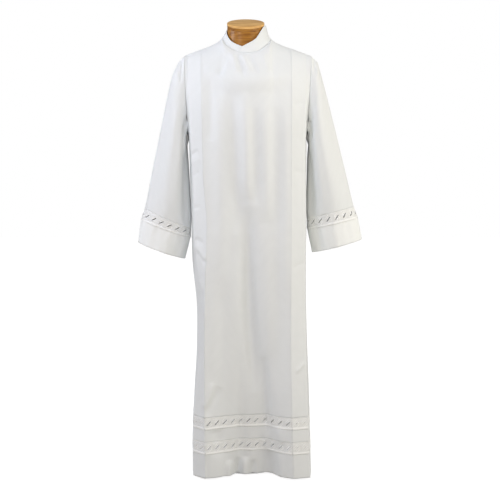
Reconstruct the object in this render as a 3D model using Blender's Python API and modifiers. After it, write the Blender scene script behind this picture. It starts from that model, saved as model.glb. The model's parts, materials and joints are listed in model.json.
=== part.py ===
"""Alb robe with lace insertions, standing on a limbless dress form.

Metres, +Z up. The origin is the centre of the underside of the form's base plate.
The robe's front faces -Y and the wearer's left is +X.
"""

import math

import bpy
from mathutils import Vector

COLLECTION = "alb_robe_on_dress_form"

# Cloth
WALL = 0.0012
SEAM_GAP = 0.0003
SHOULDER_SETBACK = 0.0005
LAYER_PITCH = 0.0026
PLEAT_WIDTH = 0.060
PLEAT_SPLIT = 0.03
PLEAT_LAYER_SHARES = (0.5 + PLEAT_SPLIT, 0.5 - PLEAT_SPLIT)
PLEAT_EDGE_SHARES = (0.05, 0.95)
SMOOTH_ANGLE = math.radians(50)

# Heights of the seams that run round the skirt
UNDERARM_Z = 1.19
UPPER_LACE_Z = (0.222, 0.182)
LOWER_LACE_Z = (0.136, 0.095)
HEM_Z = 0.009

# Neck and shoulders; the keys -1 and 1 are the wearer's right and left
NECK_HALF_WIDTH = 0.086
NECK_HALF_DEPTH = 0.074
NECK_CENTRE_Y = 0.005
NECK_SIDE_Z = 1.533
NECK_DIP = (0.030, 0.015)
SHOULDER_TIP_X = {-1: 0.219, 1: 0.227}
SHOULDER_TIP_Z = 1.481
SHOULDER_SAG = 0.001
SHOULDER_FOLD_X = {-1: 0.206, 1: 0.206}
SHOULDER_CREASE_X = {-1: 0.160, 1: 0.156}
NECK_SHARE = 0.60
ARMHOLE_HALF_DEPTH = 0.056
SIDE_BULGE = 0.006

# How each thread of the yoke leaves the shoulder and comes down to the underarm
YOKE_TOP_X_SHARE = 0.10
YOKE_TOP_Y_SHARE = 0.60
YOKE_TOP_DROP = 0.018
YOKE_LOW_X_SHARE = 0.75
YOKE_LOW_SWELL = 0.004
YOKE_LOW_RISE = 0.14
YOKE_ROWS = (0.0, 0.10, 0.24, 0.42, 0.62, 0.82, 1.0)
SKIRT_ROWS = 6

# Rings of the skirt: x of each pleat's inner crease and outer fold and of the side
# seam, on the right (r) and left (l) of the wearer, then how far the centre and the
# creases stand in front of and behind the side seams.
SKIRT_COLUMNS = (
    "z", "crease_r", "crease_l", "fold_r", "fold_l", "seam_r", "seam_l",
    "front_centre", "front_crease", "back_centre", "back_crease",
)
SKIRT_SECTIONS = (
    (1.190, 0.152, 0.154, 0.195, 0.203, 0.204, 0.211, 0.142, 0.122, 0.128, 0.112),
    (1.050, 0.148, 0.154, 0.187, 0.203, 0.202, 0.212, 0.140, 0.128, 0.130, 0.120),
    (0.900, 0.137, 0.154, 0.181, 0.204, 0.198, 0.213, 0.138, 0.136, 0.136, 0.132),
    (0.750, 0.141, 0.154, 0.173, 0.204, 0.195, 0.212, 0.137, 0.144, 0.144, 0.146),
    (0.600, 0.144, 0.154, 0.157, 0.205, 0.181, 0.213, 0.137, 0.154, 0.152, 0.160),
    (0.450, 0.146, 0.154, 0.166, 0.208, 0.181, 0.219, 0.136, 0.166, 0.161, 0.174),
    (0.300, 0.146, 0.157, 0.180, 0.212, 0.188, 0.226, 0.136, 0.180, 0.170, 0.188),
    (0.150, 0.145, 0.160, 0.187, 0.217, 0.194, 0.230, 0.133, 0.190, 0.179, 0.199),
    (0.009, 0.143, 0.165, 0.187, 0.223, 0.195, 0.233, 0.130, 0.197, 0.186, 0.207),
)

# Soft folds of the front and back between the creases: each starts at x_top, z_top
# and deepens down to the hem, where it lies at x_hem. A negative depth is a ridge.
FOLD_COLUMNS = ("x_top", "z_top", "x_hem", "half_width", "depth")
SWELL_POWER = 1.3
FOLD_FADE_POWER = 0.5
FRONT_FOLDS = (
    (0.000, 0.900, 0.078, 0.030, 0.014),
    (-0.030, 0.500, -0.062, 0.026, -0.007),
    (0.000, 0.420, 0.012, 0.024, -0.008),
    (-0.020, 0.640, -0.028, 0.018, 0.004),
)
BACK_FOLDS = (
    (-0.030, 1.000, -0.072, 0.030, 0.013),
    (0.020, 1.100, 0.010, 0.028, -0.010),
    (0.050, 0.800, 0.082, 0.030, 0.014),
)

# Rings of each sleeve, from the cap to the edge of the cuff: distance along the
# outer edge, then the outer and inner points seen from the front, and half the depth.
SLEEVE_COLUMNS = ("along", "outer_x", "outer_z", "inner_x", "inner_z", "half_depth")
SLEEVE_SECTIONS = {
    -1: (
        (0.030, 0.241, 1.459, 0.212, 1.168, 0.063),
        (0.080, 0.262, 1.414, 0.213, 1.137, 0.069),
        (0.145, 0.278, 1.352, 0.211, 1.097, 0.073),
        (0.270, 0.303, 1.234, 0.207, 1.024, 0.073),
        (0.410, 0.333, 1.096, 0.204, 0.950, 0.069),
        (0.565, 0.365, 0.944, 0.202, 0.873, 0.064),
        (0.607, 0.379, 0.904, 0.203, 0.840, 0.063),
        (0.692, 0.391, 0.822, 0.222, 0.762, 0.062),
    ),
    1: (
        (0.030, 0.251, 1.459, 0.221, 1.168, 0.063),
        (0.080, 0.264, 1.414, 0.221, 1.139, 0.069),
        (0.145, 0.281, 1.352, 0.220, 1.103, 0.073),
        (0.270, 0.312, 1.234, 0.219, 1.040, 0.073),
        (0.410, 0.347, 1.096, 0.218, 0.980, 0.069),
        (0.560, 0.384, 0.950, 0.218, 0.911, 0.064),
        (0.600, 0.398, 0.912, 0.219, 0.870, 0.063),
        (0.678, 0.415, 0.833, 0.236, 0.785, 0.062),
    ),
}
ARMHOLE_SETBACK = 0.0005
UNDERARM_SETBACK = 0.0030
SLEEVE_SEAM_HALF_GAP = 0.0006
SLEEVE_WAVE = 0.0022
SLEEVE_WAVES_ROUND = 3
SLEEVE_WAVE_START = 0.7
SLEEVE_WAVE_TWIST = 4.0
SLEEVE_WAVE_FADE = (0.1, 0.5)
SLEEVE_SIDES = 22
RING_STEPS = 120

# Collar: height of its top edge at each angle from the centre back, in degrees
# towards the wearer's left
COLLAR_TOP = (
    (-196, 1.500), (-170, 1.509), (-131, 1.532), (-99, 1.566), (-60, 1.580), (0, 1.590),
    (60, 1.588), (113, 1.583), (135, 1.560), (154, 1.536), (190, 1.509),
)
COLLAR_TOP_HALF_WIDTH = 0.070
COLLAR_TOP_HALF_DEPTH = 0.063
COLLAR_UNDER_END = -196
COLLAR_OVER_END = (202, 190)
COLLAR_LAP = 0.0021
COLLAR_LAP_DEGREES = (138, 160)
COLLAR_FULL_HEIGHT = 0.057
COLLAR_COLUMNS = 44
COLLAR_LEVELS = 4

# Lace
LACE_WALL = 0.0012
SLIT_LENGTH = 0.0200
SLIT_WIDTH = 0.0045
SLIT_SLANT = math.radians(38)
SIDE_CELLS = 6
CENTRE_CELLS = 11
SLEEVE_HALF_CELLS = 8
SLEEVE_LACE_CLEARANCE = 0.004

# Dress form: half-width, half-depth and centre of the torso's rings
TORSO_COLUMNS = ("z", "half_width", "half_depth", "centre_y")
TORSO_SECTIONS = (
    (0.800, 0.150, 0.098, 0.004),
    (0.830, 0.161, 0.106, 0.004),
    (0.900, 0.164, 0.110, 0.004),
    (1.000, 0.153, 0.103, 0.002),
    (1.080, 0.148, 0.099, 0.000),
    (1.180, 0.160, 0.106, -0.004),
    (1.280, 0.174, 0.112, -0.004),
    (1.350, 0.184, 0.104, 0.000),
    (1.400, 0.190, 0.086, 0.004),
    (1.440, 0.195, 0.068, 0.003),
    (1.464, 0.195, 0.053, 0.002),
    (1.480, 0.188, 0.043, 0.001),
    (1.492, 0.172, 0.036, 0.000),
    (1.502, 0.149, 0.031, -0.001),
    (1.510, 0.126, 0.024, -0.001),
)
TORSO_SIDES = 28
TORSO_POWER = 2.3

NECK_BOTTOM_RADII = (0.058, 0.0545)
NECK_TOP_RADII = (0.055, 0.0506)
NECK_BLOCK_Y = 0.004
CAP_CENTRE = (-0.003, -0.002, 1.5965)
CAP_HALF_WIDTH = 0.066
CAP_HALF_DEPTH = 0.061
CAP_THICKNESS = 0.018
CAP_ROUNDING = 0.003
CAP_EDGE_SHARE = 0.3
CAP_TILT = math.radians(19.5)
POLE_RADIUS = 0.0125
BASE_RADIUS = 0.122
BASE_THICKNESS = 0.006
ROUND_SIDES = 32

COLOURS = {
    "cloth": ((0.86, 0.87, 0.88), 0.75, 0.0),
    "lace": ((0.90, 0.89, 0.87), 0.80, 0.0),
    "jersey": ((0.70, 0.69, 0.66), 0.90, 0.0),
    "wood": ((0.42, 0.22, 0.08), 0.30, 0.0),
    "steel": ((0.55, 0.55, 0.56), 0.35, 1.0),
}


def lerp(low, high, share):
    return low + (high - low) * share


def smoothstep(low, high, value):
    share = min(1.0, max(0.0, (value - low) / (high - low)))
    return share * share * (3 - 2 * share)


def slope_at(rows, index, column):
    """Slope of a column at one row, from the rows on either side."""
    before = rows[max(index - 1, 0)]
    after = rows[min(index + 1, len(rows) - 1)]
    return (after[column] - before[column]) / (after[0] - before[0])


def read_table(columns, rows, value):
    """Every column where the first one is `value`, joined by smooth curves."""
    rising = rows[-1][0] > rows[0][0]
    index = 0
    while index < len(rows) - 2 and (value > rows[index + 1][0]) == rising:
        index += 1
    span = rows[index + 1][0] - rows[index][0]
    t = min(1.0, max(0.0, (value - rows[index][0]) / span))
    found = {columns[0]: value}
    for column in range(1, len(columns)):
        start, end = rows[index][column], rows[index + 1][column]
        first = slope_at(rows, index, column) * span
        last = slope_at(rows, index + 1, column) * span
        found[columns[column]] = (
            (2 * t**3 - 3 * t**2 + 1) * start
            + (t**3 - 2 * t**2 + t) * first
            + (3 * t**2 - 2 * t**3) * end
            + (t**3 - t**2) * last
        )
    return found


# ---------------------------------------------------------------- body surface
# A half of the body, front or back, has two coordinates. `across` runs from the
# wearer's right to left: side seam 0, pleat fold 1, crease 2, crease 3, fold 4,
# side seam 5. `down` runs from the shoulder 0 to the underarm 1 to the hem 2.


def side_of(across):
    return -1 if across < 2.5 else 1


def fold_depth(facing, x, z):
    """How far the soft folds push the cloth in at x, z."""
    total = 0.0
    for row in FRONT_FOLDS if facing < 0 else BACK_FOLDS:
        fold = dict(zip(FOLD_COLUMNS, row))
        share = smoothstep(fold["z_top"], HEM_Z, z)
        centre = lerp(fold["x_top"], fold["x_hem"], share)
        total += fold["depth"] * share * math.exp(-(((x - centre) / fold["half_width"]) ** 2))
    return total


def pleat_edges(facing, side, z):
    """Crease, fold and seam of one side of a ring."""
    row = read_table(SKIRT_COLUMNS, SKIRT_SECTIONS, z)
    hand = "r" if side < 0 else "l"
    depth = row["front_crease" if facing < 0 else "back_crease"]
    crease_x, fold_x = row["crease_" + hand], row["fold_" + hand]
    fold_y = depth - math.sqrt(PLEAT_WIDTH**2 - (fold_x - crease_x) ** 2)
    crease = Vector((side * crease_x, facing * depth, z))
    fold = Vector((side * fold_x, facing * fold_y, z))
    seam = Vector((side * row["seam_" + hand], facing * SEAM_GAP / 2, z))
    return crease, fold, seam


def curve_to_side(fold, seam, side, share):
    """Point between a pleat's fold and the side seam or armhole."""
    middle = (fold + seam) / 2 + Vector((side * SIDE_BULGE, 0, 0))
    return fold * (1 - share) ** 2 + middle * 2 * share * (1 - share) + seam * share**2


def ring_point(facing, across, z):
    """Point of the skirt's ring at height z."""
    side = side_of(across)
    crease, fold, seam = pleat_edges(facing, side, z)
    beyond = abs(across - 2.5) - 0.5
    if beyond > 1:
        return curve_to_side(fold, seam, side, beyond - 1)
    if beyond > 0:
        return crease.lerp(fold, beyond)
    row = read_table(SKIRT_COLUMNS, SKIRT_SECTIONS, z)
    share = across - 2
    x = lerp(-row["crease_r"], row["crease_l"], share)
    swell = math.sin(math.pi * share) ** SWELL_POWER
    edge = row["front_crease" if facing < 0 else "back_crease"]
    middle = row["front_centre" if facing < 0 else "back_centre"]
    depth = lerp(edge, middle, swell) - fold_depth(facing, x, z) * swell**FOLD_FADE_POWER
    return Vector((x, facing * depth, z))


def neckline(angle):
    """Neck seam at an angle from the centre front."""
    z = NECK_SIDE_Z - NECK_DIP[0] * math.cos(angle) - NECK_DIP[1] * math.cos(angle) ** 2
    y = NECK_CENTRE_Y - NECK_HALF_DEPTH * math.cos(angle)
    return Vector((NECK_HALF_WIDTH * math.sin(angle), y, z))


def shoulder(side, x):
    """Point of the shoulder seam at a distance x from the centre."""
    share = (x - NECK_HALF_WIDTH) / (SHOULDER_TIP_X[side] - NECK_HALF_WIDTH)
    z = lerp(NECK_SIDE_Z, SHOULDER_TIP_Z, share) - SHOULDER_SAG * math.sin(math.pi * share)
    return Vector((side * x, lerp(NECK_CENTRE_Y, 0, share), z))


def top_edge(facing, across):
    """Point of the shoulder seam or neckline where a thread of the panel starts."""
    side = side_of(across)
    beyond = abs(across - 2.5) - 0.5
    if beyond > 0:
        x = lerp(SHOULDER_CREASE_X[side], SHOULDER_FOLD_X[side], beyond)
        point = shoulder(side, x)
    else:
        share = abs(2 * across - 5)
        if share > NECK_SHARE:
            out = (share - NECK_SHARE) / (1 - NECK_SHARE)
            point = shoulder(side, lerp(NECK_HALF_WIDTH, SHOULDER_CREASE_X[side], out))
        else:
            turn = share / NECK_SHARE * math.pi / 2
            return neckline(side * turn if facing < 0 else side * (math.pi - turn))
    point.y += facing * SHOULDER_SETBACK
    return point


def armhole(side, angle):
    """Armhole seam at an angle from its top, turning forward."""
    top = Vector((side * SHOULDER_TIP_X[side], 0, SHOULDER_TIP_Z))
    seam = pleat_edges(-1, side, UNDERARM_Z)[2]
    bottom = Vector((seam.x, 0, UNDERARM_Z))
    middle, reach = (top + bottom) / 2, (top - bottom) / 2
    return middle + reach * math.cos(angle) - Vector((0, ARMHOLE_HALF_DEPTH * math.sin(angle), 0))


def yoke_thread(facing, across, down):
    """Point of a thread that runs from the top edge to the underarm level."""
    start = top_edge(facing, across)
    end = ring_point(facing, across, UNDERARM_Z)
    high = Vector((
        lerp(start.x, end.x, YOKE_TOP_X_SHARE),
        lerp(start.y, end.y, YOKE_TOP_Y_SHARE),
        start.z - YOKE_TOP_DROP,
    ))
    low = Vector((
        lerp(start.x, end.x, YOKE_LOW_X_SHARE),
        end.y + facing * YOKE_LOW_SWELL,
        end.z + YOKE_LOW_RISE,
    ))
    rest = 1 - down
    return start * rest**3 + high * 3 * down * rest**2 + low * 3 * down**2 * rest + end * down**3


def body_point(facing, across, down):
    if down >= 1:
        return ring_point(facing, across, lerp(UNDERARM_Z, HEM_Z, down - 1))
    beyond = abs(across - 2.5) - 1.5
    if beyond <= 0:
        return yoke_thread(facing, across, down)
    side = side_of(across)
    fold = yoke_thread(facing, 2.5 + 1.5 * side, down)
    edge = armhole(side, math.pi * down)
    edge.y = facing * (lerp(SHOULDER_SETBACK, SEAM_GAP / 2, down) - edge.y)
    return curve_to_side(fold, edge, side, beyond)


def body_normal(facing, across, down):
    """Direction out of the cloth."""
    step = 0.02
    left = body_point(facing, min(5.0, across + step), down)
    right = body_point(facing, max(0.0, across - step), down)
    below = body_point(facing, across, min(2.0, down + step))
    above = body_point(facing, across, max(0.0, down - step))
    return (left - right).cross(below - above).normalized() * facing


def layered_point(facing, across, layer, down):
    """Point of the cloth, lifted off the pleat's own plane by a number of layers."""
    point = body_point(facing, across, down)
    if layer == 0:
        return point
    nearest, farthest = PLEAT_EDGE_SHARES
    beyond = min(farthest, max(nearest, abs(across - 2.5) - 0.5))
    normal = body_normal(facing, 2.5 + side_of(across) * (0.5 + beyond), down)
    return point + normal * LAYER_PITCH * layer


def down_at(z):
    return 1 + (UNDERARM_Z - z) / (UNDERARM_Z - HEM_Z)


def pleat_path(face_shares):
    """(share from crease to fold, layer) through a box pleat, from its fold side."""
    high, low = PLEAT_LAYER_SHARES
    top = [(share, 2) for share in (1, *face_shares, 0)]
    return [(1, 0), (high, 0), (high, 1), (1, 1), *top, (0, 1), (low, 1), (low, 0), (0, 0)]


def body_path(side_cells, face_shares, centre_cells):
    """Every (across, layer) of a half, from the right side seam to the left one."""
    pleat = pleat_path(face_shares)
    right = [(step / side_cells, 0) for step in range(side_cells)]
    right += [(2 - share, layer) for share, layer in pleat]
    centre = [(2 + step / centre_cells, 0) for step in range(1, centre_cells)]
    left = [(5 - across, layer) for across, layer in reversed(right)]
    return right + centre + left


# ---------------------------------------------------------------- meshes


def material(name):
    """The material of that name, made once."""
    if name in bpy.data.materials:
        return bpy.data.materials[name]
    colour, roughness, metallic = COLOURS[name]
    made = bpy.data.materials.new(name)
    made.use_nodes = True
    shader = made.node_tree.nodes["Principled BSDF"]
    shader.inputs["Base Color"].default_value = (*colour, 1)
    shader.inputs["Roughness"].default_value = roughness
    shader.inputs["Metallic"].default_value = metallic
    return made


def add_object(name, mesh, colour):
    """A sub-part in the part's collection, with its own copy of the material."""
    made = bpy.data.objects.new(name, mesh)
    mesh.materials.append(material(colour).copy())
    mesh.materials[0].name = name + "_" + colour
    bpy.data.collections[COLLECTION].objects.link(made)
    return made


def add_shell(name, points, faces, colour, thickness):
    """Cloth of even thickness about the surface that the faces make."""
    mesh = bpy.data.meshes.new(name)
    mesh.from_pydata(points, [], faces)
    made = add_object(name, mesh, colour)
    mesh.shade_smooth()
    mesh.set_sharp_from_angle(angle=SMOOTH_ANGLE)
    wall = made.modifiers.new("wall", "SOLIDIFY")
    wall.thickness = thickness
    wall.offset = 0
    wall.use_even_offset = True
    wall.use_quality_normals = True
    return made


def turned(face):
    """The face from its other side, split along the same diagonal."""
    return (face[0], *face[:0:-1])


def runs_back(first, second):
    """Whether a pleat's hidden layer runs back from one column to the next."""
    return second[0] < first[0]


def grid_faces(columns, rows, flip):
    """Quads of a grid whose points run along each row in turn.

    Quads of a layer that runs back start at their other end, so that the layers of
    a pleat are split along the same diagonals and stay parallel.
    """
    faces = []
    for row in range(rows - 1):
        for column in range(len(columns) - 1):
            low = row * len(columns) + column
            high = low + len(columns)
            face = (low, low + 1, high + 1, high)
            if runs_back(columns[column], columns[column + 1]):
                face = (low + 1, high + 1, high, low)
            faces.append(turned(face) if flip else face)
    return faces


def add_sheet(name, columns, rows, point_at, flip):
    """A plain piece of cloth over a grid of columns and rows."""
    points = [point_at(column, row) for row in rows for column in columns]
    faces = grid_faces(columns, len(rows), flip)
    return add_shell(name, points, faces, "cloth", WALL)


def slit_corners():
    """Corners of a slanted slit about its centre, anticlockwise."""
    along = Vector((math.cos(SLIT_SLANT), math.sin(SLIT_SLANT))) * SLIT_LENGTH / 2
    out = Vector((-math.sin(SLIT_SLANT), math.cos(SLIT_SLANT))) * SLIT_WIDTH / 2
    return (-along - out, along - out, along + out, -along + out)


def add_lace(name, columns, is_open, height, point_at, flip, mirrored):
    """A band of cells between each two columns, with a slit through the open ones.

    point_at(column, share) gives a point at a share of the height from the bottom.
    """
    points = []
    for column in columns:
        points += [point_at(column, 0.0), point_at(column, 1.0)]
    faces = []
    for cell in range(len(columns) - 1):
        low, high = 2 * cell, 2 * cell + 2
        frame = (low, high, high + 1, low + 1)
        if not is_open(columns[cell], columns[cell + 1]):
            back = runs_back(columns[cell], columns[cell + 1])
            faces.append((high, high + 1, low + 1, low) if back else frame)
            continue
        width = (points[low] - points[high]).length
        hole = []
        for corner in slit_corners():
            share = 0.5 + (-corner.x if mirrored else corner.x) / width
            column = tuple(lerp(a, b, share) for a, b in zip(columns[cell], columns[cell + 1]))
            hole.append(len(points))
            points.append(point_at(column, 0.5 + corner.y / height))
        if mirrored:
            hole = [hole[1], hole[0], hole[3], hole[2]]
        for start in range(4):
            end = (start + 1) % 4
            faces.append((frame[start], frame[end], hole[end], hole[start]))
    if flip:
        faces = [turned(face) for face in faces]
    return add_shell(name, points, faces, "lace", LACE_WALL)


def loft(rings):
    """Points and faces of a closed solid through rings of equal count."""
    count = len(rings[0])
    points = [point for ring in rings for point in ring]
    faces = [tuple(range(count))[::-1], tuple(range(len(points) - count, len(points)))]
    for level in range(len(rings) - 1):
        for step in range(count):
            low, after = level * count + step, level * count + (step + 1) % count
            faces.append((low, after, after + count, low + count))
    return points, faces


def add_loft(name, rings, colour):
    points, faces = loft(rings)
    mesh = bpy.data.meshes.new(name)
    mesh.from_pydata(points, [], faces)
    made = add_object(name, mesh, colour)
    mesh.shade_smooth()
    mesh.set_sharp_from_angle(angle=SMOOTH_ANGLE)
    return made


# ---------------------------------------------------------------- robe


def add_body_panel(name, facing):
    """Front or back, from the shoulders to the upper lace."""
    path = body_path(2, PLEAT_LAYER_SHARES, CENTRE_CELLS)
    last = down_at(UPPER_LACE_Z[0] + SEAM_GAP / 2)
    skirt = [lerp(1.0, last, step / SKIRT_ROWS) for step in range(1, SKIRT_ROWS + 1)]

    def point_at(key, down):
        return layered_point(facing, *key, down)

    add_sheet(name, path, (*YOKE_ROWS, *skirt), point_at, facing < 0)


def add_body_band(name, facing, top, bottom, rows):
    """Plain strip or hem band between two heights."""
    path = body_path(SIDE_CELLS // 2, PLEAT_LAYER_SHARES, CENTRE_CELLS)
    heights = [lerp(top - SEAM_GAP / 2, bottom, row / (rows - 1)) for row in range(rows)]

    def point_at(key, z):
        return layered_point(facing, *key, down_at(z))

    add_sheet(name, path, heights, point_at, facing < 0)


def add_body_lace(name, facing, top, bottom):
    """Half of a lace insertion; the layers hidden in the pleats have no slits."""
    path = body_path(SIDE_CELLS, (0.5,), CENTRE_CELLS)
    low, high = bottom + SEAM_GAP / 2, top - SEAM_GAP / 2

    def point_at(key, share):
        return layered_point(facing, *key, down_at(lerp(low, high, share)))

    def is_open(first, second):
        nearest, farthest = sorted(abs(key[0] - 2.5) for key in (first, second))
        in_pleat = nearest >= 0.5 and farthest <= 1.5
        return first[1] == second[1] and first[1] != 1 and not (first[1] == 0 and in_pleat)

    add_lace(name, path, is_open, high - low, point_at, facing > 0, facing > 0)


def sleeve_point(side, along, angle):
    """Point of a sleeve at a distance from the armhole and an angle from its outer edge."""
    rows = SLEEVE_SECTIONS[side]
    first = rows[0]
    if along < first[0]:
        share = along / first[0]
        setback = lerp(ARMHOLE_SETBACK, UNDERARM_SETBACK, (1 - math.cos(angle)) / 2)
        start = armhole(side, angle) + Vector((side * setback, 0, 0))
        return start.lerp(sleeve_point(side, first[0], angle), share)
    row = read_table(SLEEVE_COLUMNS, rows, along)
    outer = Vector((side * row["outer_x"], 0, row["outer_z"]))
    inner = Vector((side * row["inner_x"], 0, row["inner_z"]))
    middle, reach = (outer + inner) / 2, (outer - inner) / 2
    phase = SLEEVE_WAVES_ROUND * angle + SLEEVE_WAVE_START + SLEEVE_WAVE_TWIST * along
    depth = row["half_depth"] + SLEEVE_WAVE * math.sin(phase) * smoothstep(*SLEEVE_WAVE_FADE, along)
    return middle + reach * math.cos(angle) - Vector((0, depth * math.sin(angle), 0))


def even_angles(side, along, start, end, count):
    """Angles that part a stretch of a sleeve's ring into equal lengths."""
    angles = [lerp(start, end, step / RING_STEPS) for step in range(RING_STEPS + 1)]
    ring = [sleeve_point(side, along, angle) for angle in angles]
    run = [0.0]
    for first, second in zip(ring, ring[1:]):
        run.append(run[-1] + (second - first).length)
    found, index = [], 0
    for cell in range(count + 1):
        target = run[-1] * cell / count
        while index < RING_STEPS - 1 and run[index + 1] < target:
            index += 1
        share = (target - run[index]) / (run[index + 1] - run[index])
        found.append(lerp(angles[index], angles[index + 1], share))
    return found


def add_tube(name, side, stations):
    """A plain part of a sleeve, all round."""
    sides = SLEEVE_SIDES
    points, faces = [], []
    for along in stations:
        angles = even_angles(side, along, 0, 2 * math.pi, sides)[:-1]
        points += [sleeve_point(side, along, angle) for angle in angles]
    for level in range(len(stations) - 1):
        for step in range(sides):
            low, after = level * sides + step, level * sides + (step + 1) % sides
            face = (low, after, after + sides, low + sides)
            faces.append(face if side > 0 else turned(face))
    return add_shell(name, points, faces, "cloth", WALL)


def add_sleeve_lace(name, side, top, bottom, facing):
    """Front or back half of the lace insertion in a sleeve."""
    middle = (top + bottom) / 2
    start = SLEEVE_LACE_CLEARANCE if facing < 0 else math.pi + SLEEVE_LACE_CLEARANCE
    end = start + math.pi - 2 * SLEEVE_LACE_CLEARANCE
    angles = even_angles(side, middle, start, end, SLEEVE_HALF_CELLS)
    low, high = bottom - SLEEVE_SEAM_HALF_GAP, top + SLEEVE_SEAM_HALF_GAP

    def point_at(key, share):
        return sleeve_point(side, lerp(low, high, share), key[0])

    columns = [(angle,) for angle in angles]
    add_lace(name, columns, lambda a, b: True, low - high, point_at, side > 0, side > 0)


def add_sleeve(side, hand):
    """Sleeve, its lace insertion in two halves, and its cuff."""
    rows = SLEEVE_SECTIONS[side]
    lace_top, lace_bottom, edge = rows[-3][0], rows[-2][0], rows[-1][0]
    upper = [0.0, *(row[0] for row in rows[:-3]), lerp(rows[-4][0], lace_top, 0.5)]
    add_tube("sleeve_" + hand, side, [*upper, lace_top - SLEEVE_SEAM_HALF_GAP])
    for place, facing in (("front", -1), ("back", 1)):
        add_sleeve_lace(f"sleeve_lace_{hand}_{place}", side, lace_top, lace_bottom, facing)
    cuff = [lace_bottom + SLEEVE_SEAM_HALF_GAP, lerp(lace_bottom, edge, 0.5), edge]
    add_tube("cuff_" + hand, side, cuff)


def collar_point(degrees, up):
    """Point of the collar at an angle from the centre back and a share of its height."""
    angle = math.radians(degrees)
    out = Vector((math.sin(angle), math.cos(angle), 0))
    base = neckline(math.pi - angle)
    base.z += SEAM_GAP + WALL
    top_z = read_table(("degrees", "z"), COLLAR_TOP, degrees)["z"]
    lean = min(1.0, (top_z - base.z) / COLLAR_FULL_HEIGHT) * up
    point = Vector((
        lerp(base.x, COLLAR_TOP_HALF_WIDTH * out.x, lean),
        lerp(base.y, NECK_CENTRE_Y + COLLAR_TOP_HALF_DEPTH * out.y, lean),
        lerp(base.z, top_z, up),
    ))
    return point + out * COLLAR_LAP * smoothstep(*COLLAR_LAP_DEGREES, degrees)


def add_collar():
    """Stand collar whose left end laps over the right one at the front."""
    points = []
    for level in range(COLLAR_LEVELS):
        up = level / (COLLAR_LEVELS - 1)
        last = lerp(*COLLAR_OVER_END, up)
        for column in range(COLLAR_COLUMNS):
            degrees = lerp(COLLAR_UNDER_END, last, column / (COLLAR_COLUMNS - 1))
            points.append(collar_point(degrees, up))
    faces = grid_faces([(column,) for column in range(COLLAR_COLUMNS)], COLLAR_LEVELS, True)
    add_shell("collar", points, faces, "cloth", WALL)


def add_robe():
    add_body_panel("front_panel", -1)
    add_body_panel("back_panel", 1)
    for place, facing in (("front", -1), ("back", 1)):
        add_body_lace("hem_lace_upper_" + place, facing, *UPPER_LACE_Z)
        strip_low = LOWER_LACE_Z[0] + SEAM_GAP / 2
        add_body_band("hem_strip_" + place, facing, UPPER_LACE_Z[1], strip_low, 2)
        add_body_lace("hem_lace_lower_" + place, facing, *LOWER_LACE_Z)
        add_body_band("hem_band_" + place, facing, LOWER_LACE_Z[1], HEM_Z, 3)
    add_sleeve(-1, "right")
    add_sleeve(1, "left")
    add_collar()


# ---------------------------------------------------------------- dress form


def superellipse(half_width, half_depth, centre_y, z, power, sides):
    ring = []
    for step in range(sides):
        angle = 2 * math.pi * step / sides
        c, s = math.cos(angle), math.sin(angle)
        x = half_width * math.copysign(abs(c) ** (2 / power), c)
        y = half_depth * math.copysign(abs(s) ** (2 / power), s)
        ring.append(Vector((x, centre_y + y, z)))
    return ring


def add_torso():
    rings = []
    for row in TORSO_SECTIONS:
        ring = dict(zip(TORSO_COLUMNS, row))
        size = (ring["half_width"], ring["half_depth"], ring["centre_y"], ring["z"])
        rings.append(superellipse(*size, TORSO_POWER, TORSO_SIDES))
    add_loft("form_torso", rings, "jersey")


def cap_place(x, y, z):
    """A point given in the tilted cap's own axes, from the centre of its top."""
    c, s = math.cos(CAP_TILT), math.sin(CAP_TILT)
    return Vector(CAP_CENTRE) + Vector((x, y * c - z * s, y * s + z * c))


def add_neck():
    """Neck block from the torso to the underside of the tilted cap."""
    base_z = TORSO_SECTIONS[-1][0] + SEAM_GAP
    bottom = superellipse(*NECK_BOTTOM_RADII, NECK_BLOCK_Y, base_z, 2, ROUND_SIDES)
    top = [
        cap_place(point.x, point.y, -CAP_THICKNESS - SEAM_GAP)
        for point in superellipse(*NECK_TOP_RADII, 0, 0, 2, ROUND_SIDES)
    ]
    middle = [low.lerp(high, 0.5) for low, high in zip(bottom, top)]
    add_loft("form_neck", [bottom, middle, top], "wood")


def add_cap():
    """Turned cap with rounded edges, oval and tilted forward."""
    bevel, middle = CAP_ROUNDING, CAP_ROUNDING * CAP_EDGE_SHARE
    levels = (
        (-CAP_THICKNESS, bevel), (-CAP_THICKNESS + bevel, 0),
        (-bevel, 0), (-middle, middle), (0, bevel),
    )
    rings = []
    for height, inset in levels:
        size = (CAP_HALF_WIDTH - inset, CAP_HALF_DEPTH - inset)
        level = superellipse(*size, 0, 0, 2, ROUND_SIDES)
        rings.append([cap_place(point.x, point.y, height) for point in level])
    add_loft("form_cap", rings, "wood")


def add_cylinder(name, radius, bottom, top):
    bpy.ops.mesh.primitive_cylinder_add(
        vertices=ROUND_SIDES, radius=radius, depth=top - bottom, location=(0, 0, (top + bottom) / 2)
    )
    made = bpy.context.object
    made.name = name
    for owner in made.users_collection:
        owner.objects.unlink(made)
    bpy.data.collections[COLLECTION].objects.link(made)
    made.data.materials.append(material("steel").copy())
    made.data.materials[0].name = name + "_steel"
    made.data.shade_smooth()
    made.data.set_sharp_from_angle(angle=SMOOTH_ANGLE)


def add_stand():
    add_cylinder("stand_base", BASE_RADIUS, 0, BASE_THICKNESS)
    torso_bottom = TORSO_SECTIONS[0][0]
    add_cylinder("stand_pole", POLE_RADIUS, BASE_THICKNESS + SEAM_GAP, torso_bottom - SEAM_GAP)


def main():
    for old in list(bpy.data.objects):
        bpy.data.objects.remove(old, do_unlink=True)
    part = bpy.data.collections.new(COLLECTION)
    bpy.context.scene.collection.children.link(part)
    add_robe()
    add_torso()
    add_neck()
    add_cap()
    add_stand()


main()
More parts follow.
